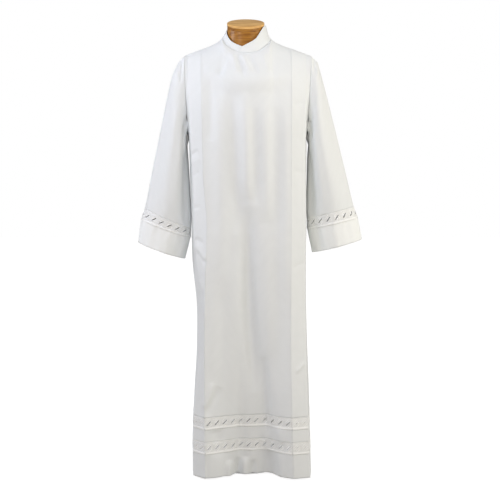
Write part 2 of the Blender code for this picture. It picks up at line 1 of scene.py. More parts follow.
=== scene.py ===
"""Looks of the alb robe on its dress form.

Metres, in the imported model's frame: +Z up, the robe's front faces -Y and the wearer's
left is +X. Surfaces are worked out more finely than the CAD solids, with creases, lace
work and sewing, from the same tables of sizes. They differ in places: among others, the
cloth is thinner, the collar leans in and the neck block is wider than in the solids.
"""

import json
import math
from functools import partial

import bpy
import numpy as np
from mathutils import Vector
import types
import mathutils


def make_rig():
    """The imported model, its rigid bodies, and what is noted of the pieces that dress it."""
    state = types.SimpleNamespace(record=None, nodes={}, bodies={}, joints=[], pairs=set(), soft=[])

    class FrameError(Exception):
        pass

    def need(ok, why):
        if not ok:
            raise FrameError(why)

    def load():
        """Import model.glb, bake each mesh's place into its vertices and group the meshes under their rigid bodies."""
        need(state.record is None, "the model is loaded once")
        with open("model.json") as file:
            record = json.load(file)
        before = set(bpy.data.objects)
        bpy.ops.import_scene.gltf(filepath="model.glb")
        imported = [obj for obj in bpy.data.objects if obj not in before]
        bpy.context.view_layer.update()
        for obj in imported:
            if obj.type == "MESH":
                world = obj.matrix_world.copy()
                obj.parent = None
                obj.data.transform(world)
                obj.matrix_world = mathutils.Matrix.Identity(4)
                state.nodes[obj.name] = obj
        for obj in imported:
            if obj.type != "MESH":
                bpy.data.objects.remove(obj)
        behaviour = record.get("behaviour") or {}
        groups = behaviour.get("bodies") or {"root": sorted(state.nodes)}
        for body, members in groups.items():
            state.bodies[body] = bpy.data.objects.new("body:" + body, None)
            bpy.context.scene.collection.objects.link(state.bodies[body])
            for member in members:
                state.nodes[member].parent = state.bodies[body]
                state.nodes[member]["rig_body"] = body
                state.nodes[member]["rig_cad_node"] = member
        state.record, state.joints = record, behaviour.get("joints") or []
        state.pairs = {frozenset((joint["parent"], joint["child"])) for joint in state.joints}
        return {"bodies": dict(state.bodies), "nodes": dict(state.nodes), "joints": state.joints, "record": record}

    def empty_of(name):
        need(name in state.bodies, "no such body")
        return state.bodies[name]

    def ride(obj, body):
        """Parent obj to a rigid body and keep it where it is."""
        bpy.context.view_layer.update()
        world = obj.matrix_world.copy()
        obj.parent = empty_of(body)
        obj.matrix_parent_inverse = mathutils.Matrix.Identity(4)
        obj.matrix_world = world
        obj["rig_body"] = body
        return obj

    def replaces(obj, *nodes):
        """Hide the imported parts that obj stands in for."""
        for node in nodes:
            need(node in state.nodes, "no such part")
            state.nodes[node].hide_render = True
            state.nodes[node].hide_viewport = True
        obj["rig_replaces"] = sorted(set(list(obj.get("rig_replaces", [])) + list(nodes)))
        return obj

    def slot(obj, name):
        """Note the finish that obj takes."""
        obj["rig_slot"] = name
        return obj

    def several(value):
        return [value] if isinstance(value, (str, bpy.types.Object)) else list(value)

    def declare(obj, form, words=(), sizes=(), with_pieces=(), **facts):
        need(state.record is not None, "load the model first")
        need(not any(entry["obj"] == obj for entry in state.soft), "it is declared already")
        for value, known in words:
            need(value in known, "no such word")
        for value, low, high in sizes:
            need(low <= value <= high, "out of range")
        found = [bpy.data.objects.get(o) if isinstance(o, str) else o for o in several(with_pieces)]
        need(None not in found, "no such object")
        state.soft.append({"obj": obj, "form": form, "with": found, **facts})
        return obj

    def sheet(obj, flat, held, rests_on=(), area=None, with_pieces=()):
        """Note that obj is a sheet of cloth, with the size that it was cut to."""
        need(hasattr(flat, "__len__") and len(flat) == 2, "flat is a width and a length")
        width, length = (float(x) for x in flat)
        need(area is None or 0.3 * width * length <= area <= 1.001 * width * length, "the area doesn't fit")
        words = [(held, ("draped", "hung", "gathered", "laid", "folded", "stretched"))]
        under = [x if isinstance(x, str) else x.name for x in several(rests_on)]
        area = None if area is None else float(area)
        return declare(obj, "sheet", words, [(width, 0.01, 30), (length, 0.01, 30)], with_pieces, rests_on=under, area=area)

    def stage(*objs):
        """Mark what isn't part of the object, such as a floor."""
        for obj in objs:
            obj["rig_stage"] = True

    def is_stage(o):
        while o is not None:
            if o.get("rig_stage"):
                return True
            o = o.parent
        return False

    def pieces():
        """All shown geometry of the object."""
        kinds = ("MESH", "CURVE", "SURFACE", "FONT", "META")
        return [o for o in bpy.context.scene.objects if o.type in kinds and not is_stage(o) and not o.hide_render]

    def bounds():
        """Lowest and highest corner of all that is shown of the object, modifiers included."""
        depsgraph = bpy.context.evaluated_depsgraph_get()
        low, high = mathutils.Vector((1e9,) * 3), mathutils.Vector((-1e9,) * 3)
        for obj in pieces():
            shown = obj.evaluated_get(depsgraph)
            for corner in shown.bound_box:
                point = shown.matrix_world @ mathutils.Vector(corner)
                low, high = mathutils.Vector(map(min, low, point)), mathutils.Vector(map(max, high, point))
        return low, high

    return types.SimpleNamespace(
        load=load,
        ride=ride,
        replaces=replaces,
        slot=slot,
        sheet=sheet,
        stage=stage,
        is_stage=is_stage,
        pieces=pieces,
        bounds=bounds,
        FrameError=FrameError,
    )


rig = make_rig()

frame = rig.load()
cad_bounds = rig.bounds()

# Cloth
CLOTH_WALL = 0.0006
SHOULDER_SETBACK = 0.0001
SIDE_SEAM_HALF_GAP = 0.0001
LAYER_PITCH = 0.00075
PLEAT_WIDTH = 0.060
PLEAT_SPLIT = 0.03
# Beside each crease the middle of the panel rises, in layers, to meet the fold over it
EASE_LAYERS = 1.25
EASE_START = 0.008
EASE_REACH = 0.07
EASE_COLUMNS = (0.003, 0.008)
# The middle of a half of the robe, by `across`
MIDDLE = 2.5
# A pleat's layers are lifted along the normal found between these shares of its width
PLEAT_SHARES = (0.05, 0.95)
# Steps over which directions on each surface are found, and the reach kept off its edges
BODY_STEP = 0.02
SLEEVE_STEP = 0.01
ACROSS_STEP = 0.004
AROUND_STEP = 0.002
FINE_STEP = 0.001

# Heights of the seams that run round the skirt
UNDERARM_Z = 1.19
UPPER_LACE_Z = (0.222, 0.182)
LOWER_LACE_Z = (0.136, 0.095)
HEM_Z = 0.009

# Neck and shoulders; the first of a pair is the wearer's right, the second the left
NECK_HALF_WIDTH = 0.086
NECK_HALF_DEPTH = 0.074
NECK_CENTRE_Y = 0.005
NECK_SIDE_Z = 1.533
NECK_DIP = (0.030, 0.015)
# The shoulders' cloth rises towards the collar at the sides of the neck
NECK_RISE = (0.012, 0.008)
NECK_RISE_REACH = 0.014
NECK_RISE_POWER = 3
SHOULDER_TIP_X = (0.219, 0.227)
SHOULDER_TIP_Z = 1.481
SHOULDER_SAG = 0.001
SHOULDER_FOLD_X = (0.206, 0.206)
SHOULDER_CREASE_X = (0.160, 0.156)
NECK_SHARE = 0.60
ARMHOLE_HALF_DEPTH = 0.056
SIDE_BULGE = 0.006
YOKE_TOP_X_SHARE = 0.10
YOKE_TOP_Y_SHARE = 0.60
YOKE_TOP_DROP = 0.018
YOKE_LOW_X_SHARE = 0.75
YOKE_LOW_SWELL = 0.004
YOKE_LOW_RISE = 0.14

# Rings of the skirt, as in the CAD source
SKIRT_COLUMNS = (
    "z", "crease_r", "crease_l", "fold_r", "fold_l", "seam_r", "seam_l",
    "front_centre", "front_crease", "back_centre", "back_crease",
)
SKIRT_SECTIONS = (
    (1.190, 0.152, 0.154, 0.195, 0.203, 0.204, 0.211, 0.142, 0.122, 0.128, 0.112),
    (1.050, 0.148, 0.154, 0.187, 0.203, 0.202, 0.212, 0.140, 0.128, 0.130, 0.120),
    (0.900, 0.137, 0.154, 0.181, 0.204, 0.198, 0.213, 0.138, 0.136, 0.136, 0.132),
    (0.750, 0.141, 0.154, 0.173, 0.204, 0.195, 0.212, 0.137, 0.144, 0.144, 0.146),
    (0.600, 0.144, 0.154, 0.157, 0.205, 0.181, 0.213, 0.137, 0.154, 0.152, 0.160),
    (0.450, 0.146, 0.154, 0.166, 0.208, 0.181, 0.219, 0.136, 0.166, 0.161, 0.174),
    (0.300, 0.146, 0.157, 0.180, 0.212, 0.188, 0.226, 0.136, 0.180, 0.170, 0.188),
    (0.150, 0.145, 0.160, 0.187, 0.217, 0.194, 0.230, 0.133, 0.190, 0.179, 0.199),
    (0.009, 0.143, 0.165, 0.187, 0.223, 0.195, 0.233, 0.130, 0.197, 0.186, 0.207),
)
SWELL_POWER = 1.3
FOLD_FADE_POWER = 0.5
FOLD_COLUMNS = ("x_top", "z_top", "x_hem", "half_width", "depth")
FRONT_FOLDS = (
    (0.000, 0.900, 0.078, 0.030, 0.014),
    (-0.030, 0.500, -0.062, 0.026, -0.007),
    (0.000, 0.420, 0.012, 0.024, -0.008),
    (-0.020, 0.640, -0.028, 0.018, 0.004),
)
BACK_FOLDS = (
    (-0.030, 1.000, -0.072, 0.030, 0.013),
    (0.020, 1.100, 0.010, 0.028, -0.010),
    (0.050, 0.800, 0.082, 0.030, 0.014),
)

# Rings of each sleeve, from the cap to the edge of the cuff
SLEEVE_COLUMNS = ("along", "outer_x", "outer_z", "inner_x", "inner_z", "half_depth")
SLEEVE_SECTIONS = {
    -1: (
        (0.030, 0.241, 1.459, 0.212, 1.168, 0.063),
        (0.080, 0.262, 1.414, 0.213, 1.137, 0.069),
        (0.145, 0.278, 1.352, 0.211, 1.097, 0.073),
        (0.270, 0.303, 1.234, 0.207, 1.024, 0.073),
        (0.410, 0.333, 1.096, 0.204, 0.950, 0.069),
        (0.565, 0.365, 0.944, 0.202, 0.873, 0.064),
        (0.607, 0.379, 0.904, 0.203, 0.840, 0.063),
        (0.692, 0.391, 0.822, 0.222, 0.762, 0.062),
    ),
    1: (
        (0.030, 0.251, 1.459, 0.221, 1.168, 0.063),
        (0.080, 0.264, 1.414, 0.221, 1.139, 0.069),
        (0.145, 0.281, 1.352, 0.220, 1.103, 0.073),
        (0.270, 0.312, 1.234, 0.219, 1.040, 0.073),
        (0.410, 0.347, 1.096, 0.218, 0.980, 0.069),
        (0.560, 0.384, 0.950, 0.218, 0.911, 0.064),
        (0.600, 0.398, 0.912, 0.219, 0.870, 0.063),
        (0.678, 0.415, 0.833, 0.236, 0.785, 0.062),
    ),
}
ARMHOLE_SETBACK = 0.0003
UNDERARM_SETBACK = 0.0010
SLEEVE_WAVE = 0.0022
SLEEVE_WAVES_ROUND = 3
SLEEVE_WAVE_START = 0.7
SLEEVE_WAVE_TWIST = 4.0
SLEEVE_WAVE_FADE = (0.1, 0.5)
# How far the inner edge of a sleeve rests in towards the body, and where along it
SLEEVE_REST = 0.0036
SLEEVE_REST_ALONG = (0.02, 0.10, 0.50, 0.62)
RING_STEPS = 240

# Collar: height of its top edge at each angle from the centre back
COLLAR_TOP = (
    (-196, 1.500), (-170, 1.509), (-131, 1.532), (-106, 1.555), (-90, 1.568),
    (-75, 1.576), (-60, 1.583), (0, 1.590), (60, 1.588), (113, 1.583), (135, 1.560),
    (154, 1.536), (190, 1.509),
)
COLLAR_TOP_HALF_WIDTH = (0.0655, 0.070)
COLLAR_TOP_HALF_DEPTH = 0.063
COLLAR_TOP_CENTRE_X = -0.003
COLLAR_UNDER_END = -196
COLLAR_OVER_END = (202, 190)
COLLAR_LAP = 0.0026
COLLAR_LAP_DEGREES = (138, 160)
COLLAR_FULL_HEIGHT = 0.057
COLLAR_LEAN_POWER = 0.6
# Towards the wearer's right side the collar leans in to touch the neck block
COLLAR_HUG_FROM = (0.3, 0.9)
COLLAR_HUG_POWERS = (0.2, 1.0)
COLLAR_WALL = 0.0010
COLLAR_SEAT = -0.0004

# Lace
LACE_WALL = 0.0006
SLIT_LENGTH = 0.0200
SLIT_WIDTH = 0.0042
SLIT_SLANT = math.radians(43)
SIDE_CELLS = 6
CENTRE_CELLS = 11
SLEEVE_HALF_CELLS = 8
SLEEVE_LACE_CLEARANCE = 0.001

# Creases: from (a0, b0) to (a1, b1), bowed sideways by `bow`. On the body a is x and
# b is z; on a sleeve a is the quarter turns from the outer edge, forward, and b the
# distance down from the armhole.
CREASE_COLUMNS = ("a0", "b0", "a1", "b1", "bow", "half_width", "rise")
FRONT_CREASES = (
    # folds that radiate from the collar
    (-0.074, 1.490, -0.094, 1.400, 0.004, 0.012, -0.0066),
    (-0.052, 1.484, -0.034, 1.416, 0.003, 0.009, 0.0056),
    (-0.036, 1.482, -0.008, 1.400, 0.003, 0.008, -0.0054),
    (-0.018, 1.480, 0.010, 1.420, 0.002, 0.008, 0.0042),
    (0.004, 1.478, 0.036, 1.410, 0.002, 0.009, -0.0042),
    (0.056, 1.486, 0.078, 1.420, -0.003, 0.012, 0.0036),
    # the chest break, where the cloth turns from the shoulders to hang
    (-0.150, 1.420, 0.160, 1.420, -0.036, 0.034, 0.0085),
    # long soft undulations down the front
    (-0.096, 1.360, -0.084, 0.640, 0.000, 0.026, 0.0074),
    (-0.052, 1.360, -0.034, 0.860, 0.004, 0.020, -0.0096),
    (-0.008, 1.350, 0.000, 0.980, 0.004, 0.018, 0.0074),
    (0.028, 1.300, 0.036, 0.960, 0.000, 0.018, -0.0062),
    (0.062, 1.350, 0.072, 0.900, 0.000, 0.020, 0.0056),
    (0.100, 1.300, 0.108, 0.860, 0.000, 0.022, -0.0050),
    (0.134, 1.350, 0.136, 0.620, 0.000, 0.018, 0.0054),
    (0.010, 0.960, 0.028, 0.300, -0.006, 0.020, -0.0150),
    (-0.014, 1.040, 0.004, 0.480, 0.000, 0.020, -0.0070),
    (0.056, 0.430, 0.076, 0.150, 0.000, 0.016, -0.0070),
    # beside the crease of the wearer's right pleat
    (-0.124, 1.420, -0.122, 1.180, 0.000, 0.018, -0.0060),
    # undulations lower down
    (0.062, 0.900, 0.074, 0.420, 0.004, 0.024, 0.0052),
    (0.106, 0.760, 0.120, 0.300, 0.000, 0.026, -0.0030),
    (-0.118, 0.900, -0.112, 0.360, 0.000, 0.024, 0.0034),
    (-0.040, 0.800, -0.056, 0.300, 0.000, 0.028, 0.0040),
    # lower corner at the wearer's right, above the lace
    (-0.096, 0.330, -0.142, 0.228, 0.004, 0.014, -0.0046),
    (-0.118, 0.344, -0.150, 0.256, 0.004, 0.010, 0.0040),
    # pinch at the wearer's left
    (0.172, 0.378, 0.200, 0.412, 0.000, 0.0060, 0.0036),
    # ripples that flare towards the edge of the hem band
    (-0.064, 0.064, -0.064, -0.046, 0.000, 0.010, 0.0088),
    (-0.0316, 0.068, -0.0316, -0.050, 0.000, 0.009, -0.0090),
    (-0.0055, 0.070, -0.0050, -0.050, 0.000, 0.012, 0.0120),
    (0.0224, 0.060, 0.0224, -0.042, 0.000, 0.009, -0.0084),
    (0.078, 0.100, 0.078, -0.080, 0.000, 0.030, -0.0080),
    (-0.102, 0.096, -0.106, -0.070, 0.004, 0.020, 0.0064),
    (-0.138, 0.090, -0.138, -0.060, 0.000, 0.010, -0.0040),
    (0.120, 0.092, 0.124, -0.060, 0.000, 0.014, 0.0040),
    # on the strip between the laces
    (-0.110, 0.176, -0.100, 0.132, 0.004, 0.018, -0.0040),
    (0.116, 0.186, 0.122, 0.128, 0.000, 0.018, 0.0040),
    # wrinkles across the pleat at the wearer's right
    (-0.196, 1.128, -0.166, 1.150, 0.002, 0.006, -0.0030),
    (-0.192, 1.100, -0.156, 1.122, 0.002, 0.010, 0.0024),
    (-0.188, 1.058, -0.160, 1.076, 0.003, 0.006, -0.0022),
    (-0.184, 0.946, -0.160, 0.956, 0.002, 0.006, -0.0024),
    (-0.180, 0.842, -0.150, 0.824, 0.003, 0.007, -0.0032),
    (-0.176, 0.822, -0.144, 0.770, 0.000, 0.010, 0.0036),
    (-0.170, 0.800, -0.140, 0.752, 0.000, 0.006, -0.0032),
    (-0.164, 0.700, -0.146, 0.656, 0.000, 0.008, 0.0018),
    (-0.160, 0.620, -0.142, 0.570, 0.000, 0.009, 0.0016),
    # and across the left one
    (0.160, 1.300, 0.200, 1.316, 0.002, 0.007, -0.0014),
    (0.162, 1.080, 0.204, 1.066, 0.002, 0.007, -0.0014),
    (0.160, 0.742, 0.204, 0.760, 0.002, 0.008, -0.0014),
)
BACK_CREASES = (
    # folds that radiate from the collar
    (-0.066, 1.520, -0.090, 1.430, 0.004, 0.013, -0.0026),
    (0.040, 1.530, 0.030, 1.440, 0.000, 0.013, 0.0018),
    (0.078, 1.518, 0.098, 1.420, -0.003, 0.012, -0.0022),
    # the break under the shoulders
    (-0.140, 1.420, 0.145, 1.424, -0.026, 0.026, 0.0042),
    # long soft undulations
    (-0.084, 1.360, -0.076, 0.640, 0.004, 0.024, 0.0032),
    (-0.036, 1.300, -0.044, 0.560, 0.000, 0.020, -0.0042),
    (0.020, 1.370, 0.012, 0.720, 0.000, 0.022, 0.0030),
    (0.066, 1.240, 0.074, 0.460, -0.005, 0.020, -0.0040),
    (0.112, 1.350, 0.118, 0.600, 0.000, 0.022, 0.0026),
    # lower corner at the wearer's left, above the lace
    (0.120, 0.330, 0.146, 0.236, -0.004, 0.010, -0.0040),
    # ripples of the hem band
    (-0.050, 0.080, -0.046, -0.010, 0.000, 0.011, 0.0026),
    (-0.010, 0.080, -0.014, -0.010, 0.000, 0.010, -0.0026),
    (0.050, 0.075, 0.052, -0.010, 0.000, 0.011, 0.0026),
    # wrinkles across the pleats
    (-0.196, 1.090, -0.152, 1.108, 0.002, 0.007, -0.0020),
    (-0.188, 0.800, -0.140, 0.818, 0.002, 0.007, -0.0020),
    (0.158, 1.180, 0.202, 1.164, 0.002, 0.007, -0.0018),
    (0.160, 0.700, 0.206, 0.722, 0.002, 0.008, -0.0020),
)
# By side: -1 is the wearer's right, 1 the left
SLEEVE_CREASES = {
    -1: (
        (0.90, 0.05, 1.02, 0.56, 0.05, 0.16, 0.0050),
        (1.18, 0.08, 1.16, 0.52, 0.02, 0.09, 0.0040),
        (1.58, 0.12, 1.56, 0.56, 0.02, 0.17, -0.0100),
        (0.46, 0.16, 0.54, 0.55, 0.03, 0.15, -0.0040),
        (0.12, 0.012, 0.66, 0.022, 0.00, 0.007, -0.0056),
        (0.16, 0.036, 0.70, 0.026, 0.00, 0.007, -0.0044),
        (0.14, 0.024, 0.52, 0.026, 0.00, 0.005, 0.0024),
        (1.70, -0.02, 1.60, 0.18, 0.00, 0.07, -0.0070),
        (1.50, -0.02, 1.46, 0.15, 0.00, 0.06, 0.0044),
        (1.34, -0.02, 1.32, 0.12, 0.00, 0.05, -0.0036),
        (2.70, 0.10, 2.60, 0.55, 0.04, 0.16, 0.0034),
        (3.16, 0.14, 3.10, 0.56, 0.04, 0.14, -0.0034),
        (0.80, 0.60, 0.84, 0.72, 0.00, 0.11, -0.0030),
        (1.12, 0.60, 1.16, 0.72, 0.00, 0.10, 0.0032),
        (1.46, 0.60, 1.44, 0.72, 0.00, 0.10, -0.0030),
        (2.80, 0.60, 2.84, 0.72, 0.00, 0.12, -0.0030),
    ),
    1: (
        (0.92, 0.06, 0.84, 0.55, -0.04, 0.17, 0.0042),
        (1.20, 0.10, 1.18, 0.52, 0.02, 0.09, 0.0030),
        (1.58, 0.12, 1.60, 0.56, 0.02, 0.16, -0.0080),
        (0.50, 0.12, 0.44, 0.50, 0.02, 0.15, -0.0034),
        (0.08, 0.012, 0.56, 0.018, 0.00, 0.007, -0.0056),
        (0.10, 0.034, 0.46, 0.022, 0.00, 0.007, -0.0042),
        (0.10, 0.022, 0.42, 0.022, 0.00, 0.005, 0.0024),
        (1.52, -0.02, 1.50, 0.12, 0.00, 0.06, 0.0046),
        (1.68, -0.02, 1.60, 0.16, 0.00, 0.06, -0.0070),
        (1.36, -0.02, 1.38, 0.10, 0.00, 0.05, -0.0036),
        (2.64, 0.10, 2.70, 0.55, 0.04, 0.16, 0.0034),
        (3.10, 0.16, 3.16, 0.54, 0.04, 0.14, -0.0032),
        (0.70, 0.59, 0.66, 0.70, 0.00, 0.11, -0.0026),
        (1.04, 0.59, 1.00, 0.70, 0.00, 0.11, 0.0030),
        (1.44, 0.59, 1.46, 0.70, 0.00, 0.10, -0.0028),
        (2.90, 0.59, 2.94, 0.70, 0.00, 0.12, 0.0028),
    ),
}

# Sewing and finishes
BAR_SIDES = 5
BAR_HEIGHT = 0.0009
# Share of a bar's size left at its tip, squared; room between a bar and its cell's edges
BAR_TIP = 0.02
CELL_MARGINS = (0.0003, 0.001)
CORD_HALF_WIDTH = 0.0011
BORDER_HEIGHT = 0.0066
BORDER_LIFT = 0.0009
BORDER_WALL = 0.0006
SCALLOP_DEPTH = 0.0012
SCALLOP_PITCH = 0.0092
STITCH_PITCH = 0.0032
STITCH_LENGTH = 0.0022
STITCH_HALF_WIDTH = 0.00028
STITCH_HEIGHT = 0.0003
# From the lace's edges: drop of the cord and border, and the stitches' distance above and below
CORD_DROP = 0.0008
BORDER_DROP = 0.0006
STITCH_OFFSETS = (0.0014, 0.0034)
# Parts of a half of the robe that show, by `across`
SHOWN_COLUMNS = ("start", "end", "layer", "steps")
SHOWN_RUNS = (
    (0.0, 0.99, 0, 59), (1.004, 1.996, 2, 156), (2.004, 2.996, 0, 156),
    (3.004, 3.996, 2, 156), (4.01, 5.0, 0, 59),
)
# Satin bars of a lace cell: distance above the slit, length and half-width
BAR_PLACES = (
    (0.0032, 0.025, 0.0016), (-0.0032, 0.025, 0.0016),
    (0.0098, 0.026, 0.0012), (-0.0098, 0.026, 0.0012),
)
# Phase that Blender's wave texture gives to one unit of its scale
WAVE_PHASE = 20
WEAVE_PITCH = 0.0007
NET_PITCH = 0.0024
SATIN_PITCH = 0.0006
JERSEY_PITCH = 0.0022
# Scales of the noise in each finish
SLUB_SCALE = 260.0
CLOTH_SCALE = 30.0
SATIN_SCALE = 90.0
GRAIN_SCALE = 110.0
GRAIN_DETAIL = 5.0
JERSEY_SCALE = 60.0
PEEL_SCALE = 700.0
# Depth in metres and strength of each finish's relief
CLOTH_RELIEF = (0.00008, 0.35)
NET_RELIEF = (0.0002, 0.5)
SATIN_RELIEF = (0.00006, 0.5)
WOOD_RELIEF = (0.0002, 0.2)
JERSEY_RELIEF = (0.0002, 0.5)
STEEL_RELIEF = (0.0001, 0.25)
CLOTH_TONES = ((0.77, 0.80, 0.81), (0.81, 0.84, 0.85))
# The cuffs take a whiter copy of the cloth: painted light, brighter than the rest of the robe
CUFF_PAINTED_LIGHT_TONES = ((0.87, 0.90, 0.90), (0.91, 0.94, 0.94))
# Lace net: painted shade in the gaps between the threads, then the threads' own tone
NET_THREAD_AND_SHADE_TONES = ((0.66, 0.68, 0.68), (0.87, 0.89, 0.89))
SATIN_TONES = ((0.88, 0.90, 0.90), (0.93, 0.95, 0.95))
# Wood: a lighter copy for the top of the cap, painted light, and a darker one for its sides and the neck block,
# painted shade
LIT_TOP_TONES = ((0.64, 0.350, 0.102), (0.85, 0.52, 0.180))
SHADED_SIDE_TONES = ((0.25, 0.095, 0.009), (0.45, 0.20, 0.025))
WOOD_SPREAD = (0.36, 0.64)
WOOD_TURN = (0, math.radians(10), 0)
WOOD_STRETCH = (0.12, 0.40, 1.0)
JERSEY_TONES = ((0.52, 0.50, 0.47), (0.60, 0.58, 0.55))
METAL_TONES = ((0.50, 0.50, 0.50), (0.60, 0.60, 0.60))

# Grid of each piece: steps across the side, the pleat's face and the centre
PANEL_STEPS = {-1: (10, 14, 66), 1: (8, 10, 46)}
PANEL_ROWS = {-1: (66, 196), 1: (50, 156)}
BAND_STEPS = (8, 12, 60)
STRIP_ROWS = 12
HEM_BAND_ROWS = 22
CUFF_ROWS = 20
COLLAR_STEPS = (150, 16)
# Steps of a pleat's hidden layers and of its inner and outer turns
HIDDEN_STEPS = 4
TURN_STEPS = (3, 5)
BORDER_LEVELS = 5
SLEEVE_TRIM_STEPS = 181
BAR_STEPS = 7
# Points of neighbouring patches nearer than this are one
JOIN_PITCH = 2e-6
SLEEVE_COLUMNS_ROUND = 96
SLEEVE_ROWS = 112
CELL_SIDE_STEPS = 8
CELL_LEVELS = (0.0, 0.35, 0.62, 0.84, 1.0)

# Each sheet as cut: flat width, length and area, how it is held and what it rests on
SHEET_COLUMNS = ("piece", "width", "length", "area", "held", "rests_on")
SHEETS = (
    ("front_panel_cloth", 0.992, 1.370, 1.113, "hung", ("form_torso_cover",)),
    ("back_panel_cloth", 0.991, 1.359, 1.102, "hung", ("form_torso_cover",)),
    ("collar_cloth", 0.592, 0.070, 0.0190, "draped", ("front_panel_cloth", "back_panel_cloth")),
    ("sleeve_left_cloth", 0.689, 0.558, 0.182, "hung", ("front_panel_cloth", "back_panel_cloth")),
    ("sleeve_right_cloth", 0.688, 0.562, 0.191, "hung", ("front_panel_cloth", "back_panel_cloth")),
    ("sleeve_lace_left_front_net", 0.244, 0.040, 0.0091, "hung", ("sleeve_left_cloth",)),
    ("sleeve_lace_left_back_net", 0.244, 0.040, 0.0091, "hung", ("sleeve_left_cloth",)),
    ("sleeve_lace_right_front_net", 0.247, 0.042, 0.0086, "hung", ("sleeve_right_cloth",)),
    ("sleeve_lace_right_back_net", 0.247, 0.042, 0.0086, "hung", ("sleeve_right_cloth",)),
    ("cuff_left_cloth", 0.495, 0.087, 0.0413, "hung", ("sleeve_lace_left_front_net",)),
    ("cuff_right_cloth", 0.498, 0.083, 0.0397, "hung", ("sleeve_lace_right_front_net",)),
    ("hem_lace_upper_front_net", 1.002, 0.0403, 0.0375, "hung", ("front_panel_cloth",)),
    ("hem_lace_upper_back_net", 1.002, 0.0403, 0.0375, "hung", ("back_panel_cloth",)),
    ("hem_strip_front_cloth", 1.013, 0.047, 0.0465, "hung", ("hem_lace_upper_front_net",)),
    ("hem_strip_back_cloth", 1.012, 0.047, 0.0464, "hung", ("hem_lace_upper_back_net",)),
    ("hem_lace_lower_front_net", 1.022, 0.0412, 0.0393, "hung", ("hem_strip_front_cloth",)),
    ("hem_lace_lower_back_net", 1.020, 0.0412, 0.0392, "hung", ("hem_strip_back_cloth",)),
    ("hem_band_front_cloth", 1.055, 0.087, 0.0895, "hung", ("hem_lace_lower_front_net",)),
    ("hem_band_back_cloth", 1.034, 0.087, 0.0884, "hung", ("hem_lace_lower_back_net",)),
)

# Dress form: half-width, half-depth and centre of the torso's rings
TORSO_COLUMNS = ("z", "half_width", "half_depth", "centre_y")
TORSO_SECTIONS = (
    (0.800, 0.150, 0.098, 0.004),
    (0.830, 0.161, 0.106, 0.004),
    (0.900, 0.164, 0.110, 0.004),
    (1.000, 0.153, 0.103, 0.002),
    (1.080, 0.148, 0.099, 0.000),
    (1.180, 0.160, 0.106, -0.004),
    (1.280, 0.174, 0.112, -0.004),
    (1.350, 0.184, 0.104, 0.000),
    (1.400, 0.190, 0.086, 0.004),
    (1.440, 0.195, 0.068, 0.003),
    (1.464, 0.195, 0.053, 0.002),
    (1.480, 0.188, 0.043, 0.001),
    (1.492, 0.172, 0.036, 0.000),
    (1.502, 0.149, 0.031, -0.001),
    (1.510, 0.126, 0.024, -0.001),
)
TORSO_POWER = 2.3
TORSO_RUNS = ((0.800, 0.830, 6), (0.830, 1.350, 40), (1.350, 1.510, 40))
SEAM_GAP = 0.0003
SHARP_ANGLE = math.radians(40)
NECK_RINGS = 12
CAP_ROUND_STEPS = 5
# Height over which the wood turns from its painted shade on the sides to its painted light on top
LIGHT_TO_SHADE_BLEND = 0.001
ROUND_SIDES = 96
CAP_CENTRE = Vector((-0.003, -0.002, 1.5965))
CAP_HALF_WIDTH = 0.066
CAP_HALF_DEPTH = 0.061
CAP_THICKNESS = 0.018
CAP_TILT = math.radians(19.5)
CAP_ROUNDING = 0.0025
# The cap's upper edge stands a little proud of its lower part
CAP_RIM = 0.0075
CAP_STEP = 0.0007
NECK_BOTTOM_RADII = (0.0630, 0.0565)
NECK_TOP_RADII = (0.0653, 0.0595)
NECK_BLOCK_Y = 0.004
POLE_RADIUS = 0.0125
BASE_RADIUS = 0.122
BASE_THICKNESS = 0.006
BASE_EDGE = 0.0015

# Studio
WORLD_LIGHT = 0.26
WORLD_COLOUR = (1.00, 0.99, 0.98)
FLOOR_GLOW = (0.86, 1.0)
FLOOR_SHADE = 0.35
FLOOR_REACH = 9.0
FLOOR_GREY = (0.30, 0.30, 0.30, 1)
FLOOR_BRIGHTENS = (0.3, 1.0)
# Painted shadow on the floor, under and behind the robe: how far behind the centre, then one over its half-sizes
FOOTPRINT_OFFSET = 0.30
FOOTPRINT_SCALE = (4.7, 2.5, 1.0)
FOOTPRINT_EDGE = (0.75, 1.0)
# Faint light inside the skirt, so that the slits read grey-brown
INNER_GLOW_PLACE = (0.0, 0.06, 0.30)
INNER_GLOW_POWER = 0.3
INNER_GLOW_RADIUS = 0.04
INNER_GLOW_COLOUR = (1.0, 0.93, 0.86)
CAMERA_PLACE = (0.012, -3.5, 1.16)
CAMERA_PITCH = math.radians(84)
CAMERA_LENS = 70.2
CAMERA_SENSOR = 36
# Name, place, target, size, power and colour
LIGHTS = (
    ("side_left", (-2.8, -0.4, 1.9), (0, 0, 1.1), 1.4, 28.9, (0.96, 0.95, 1.00)),
    ("side_right", (2.8, -0.4, 1.9), (0, 0, 1.1), 1.4, 30.3, (1.00, 0.97, 0.91)),
    ("close_left", (-1.2, -1.6, 2.3), (0, 0, 1.3), 1.0, 18.0, (0.80, 0.84, 1.00)),
    ("close_right", (1.3, -1.6, 2.2), (0, 0, 1.2), 1.0, 8.7, (1.00, 0.88, 0.72)),
    ("low_right", (2.4, -1.8, 0.7), (0, 0, 0.6), 1.4, 13.8, (1.00, 0.92, 0.77)),
    ("low_left", (-2.4, -1.8, 0.7), (0, 0, 0.6), 1.4, 3.0, (1.00, 0.54, 0.00)),
    ("front_low", (0.0, -3.2, 0.9), (0, 0, 0.7), 1.4, 16.1, (1.00, 0.88, 0.75)),
    ("overhead", (0, -0.8, 3.2), (0, 0, 1.0), 1.8, 6.0, (1.00, 1.00, 1.00)),
)


# ---------------------------------------------------------------- helpers


def lerp(low, high, share):
    return low + (high - low) * share


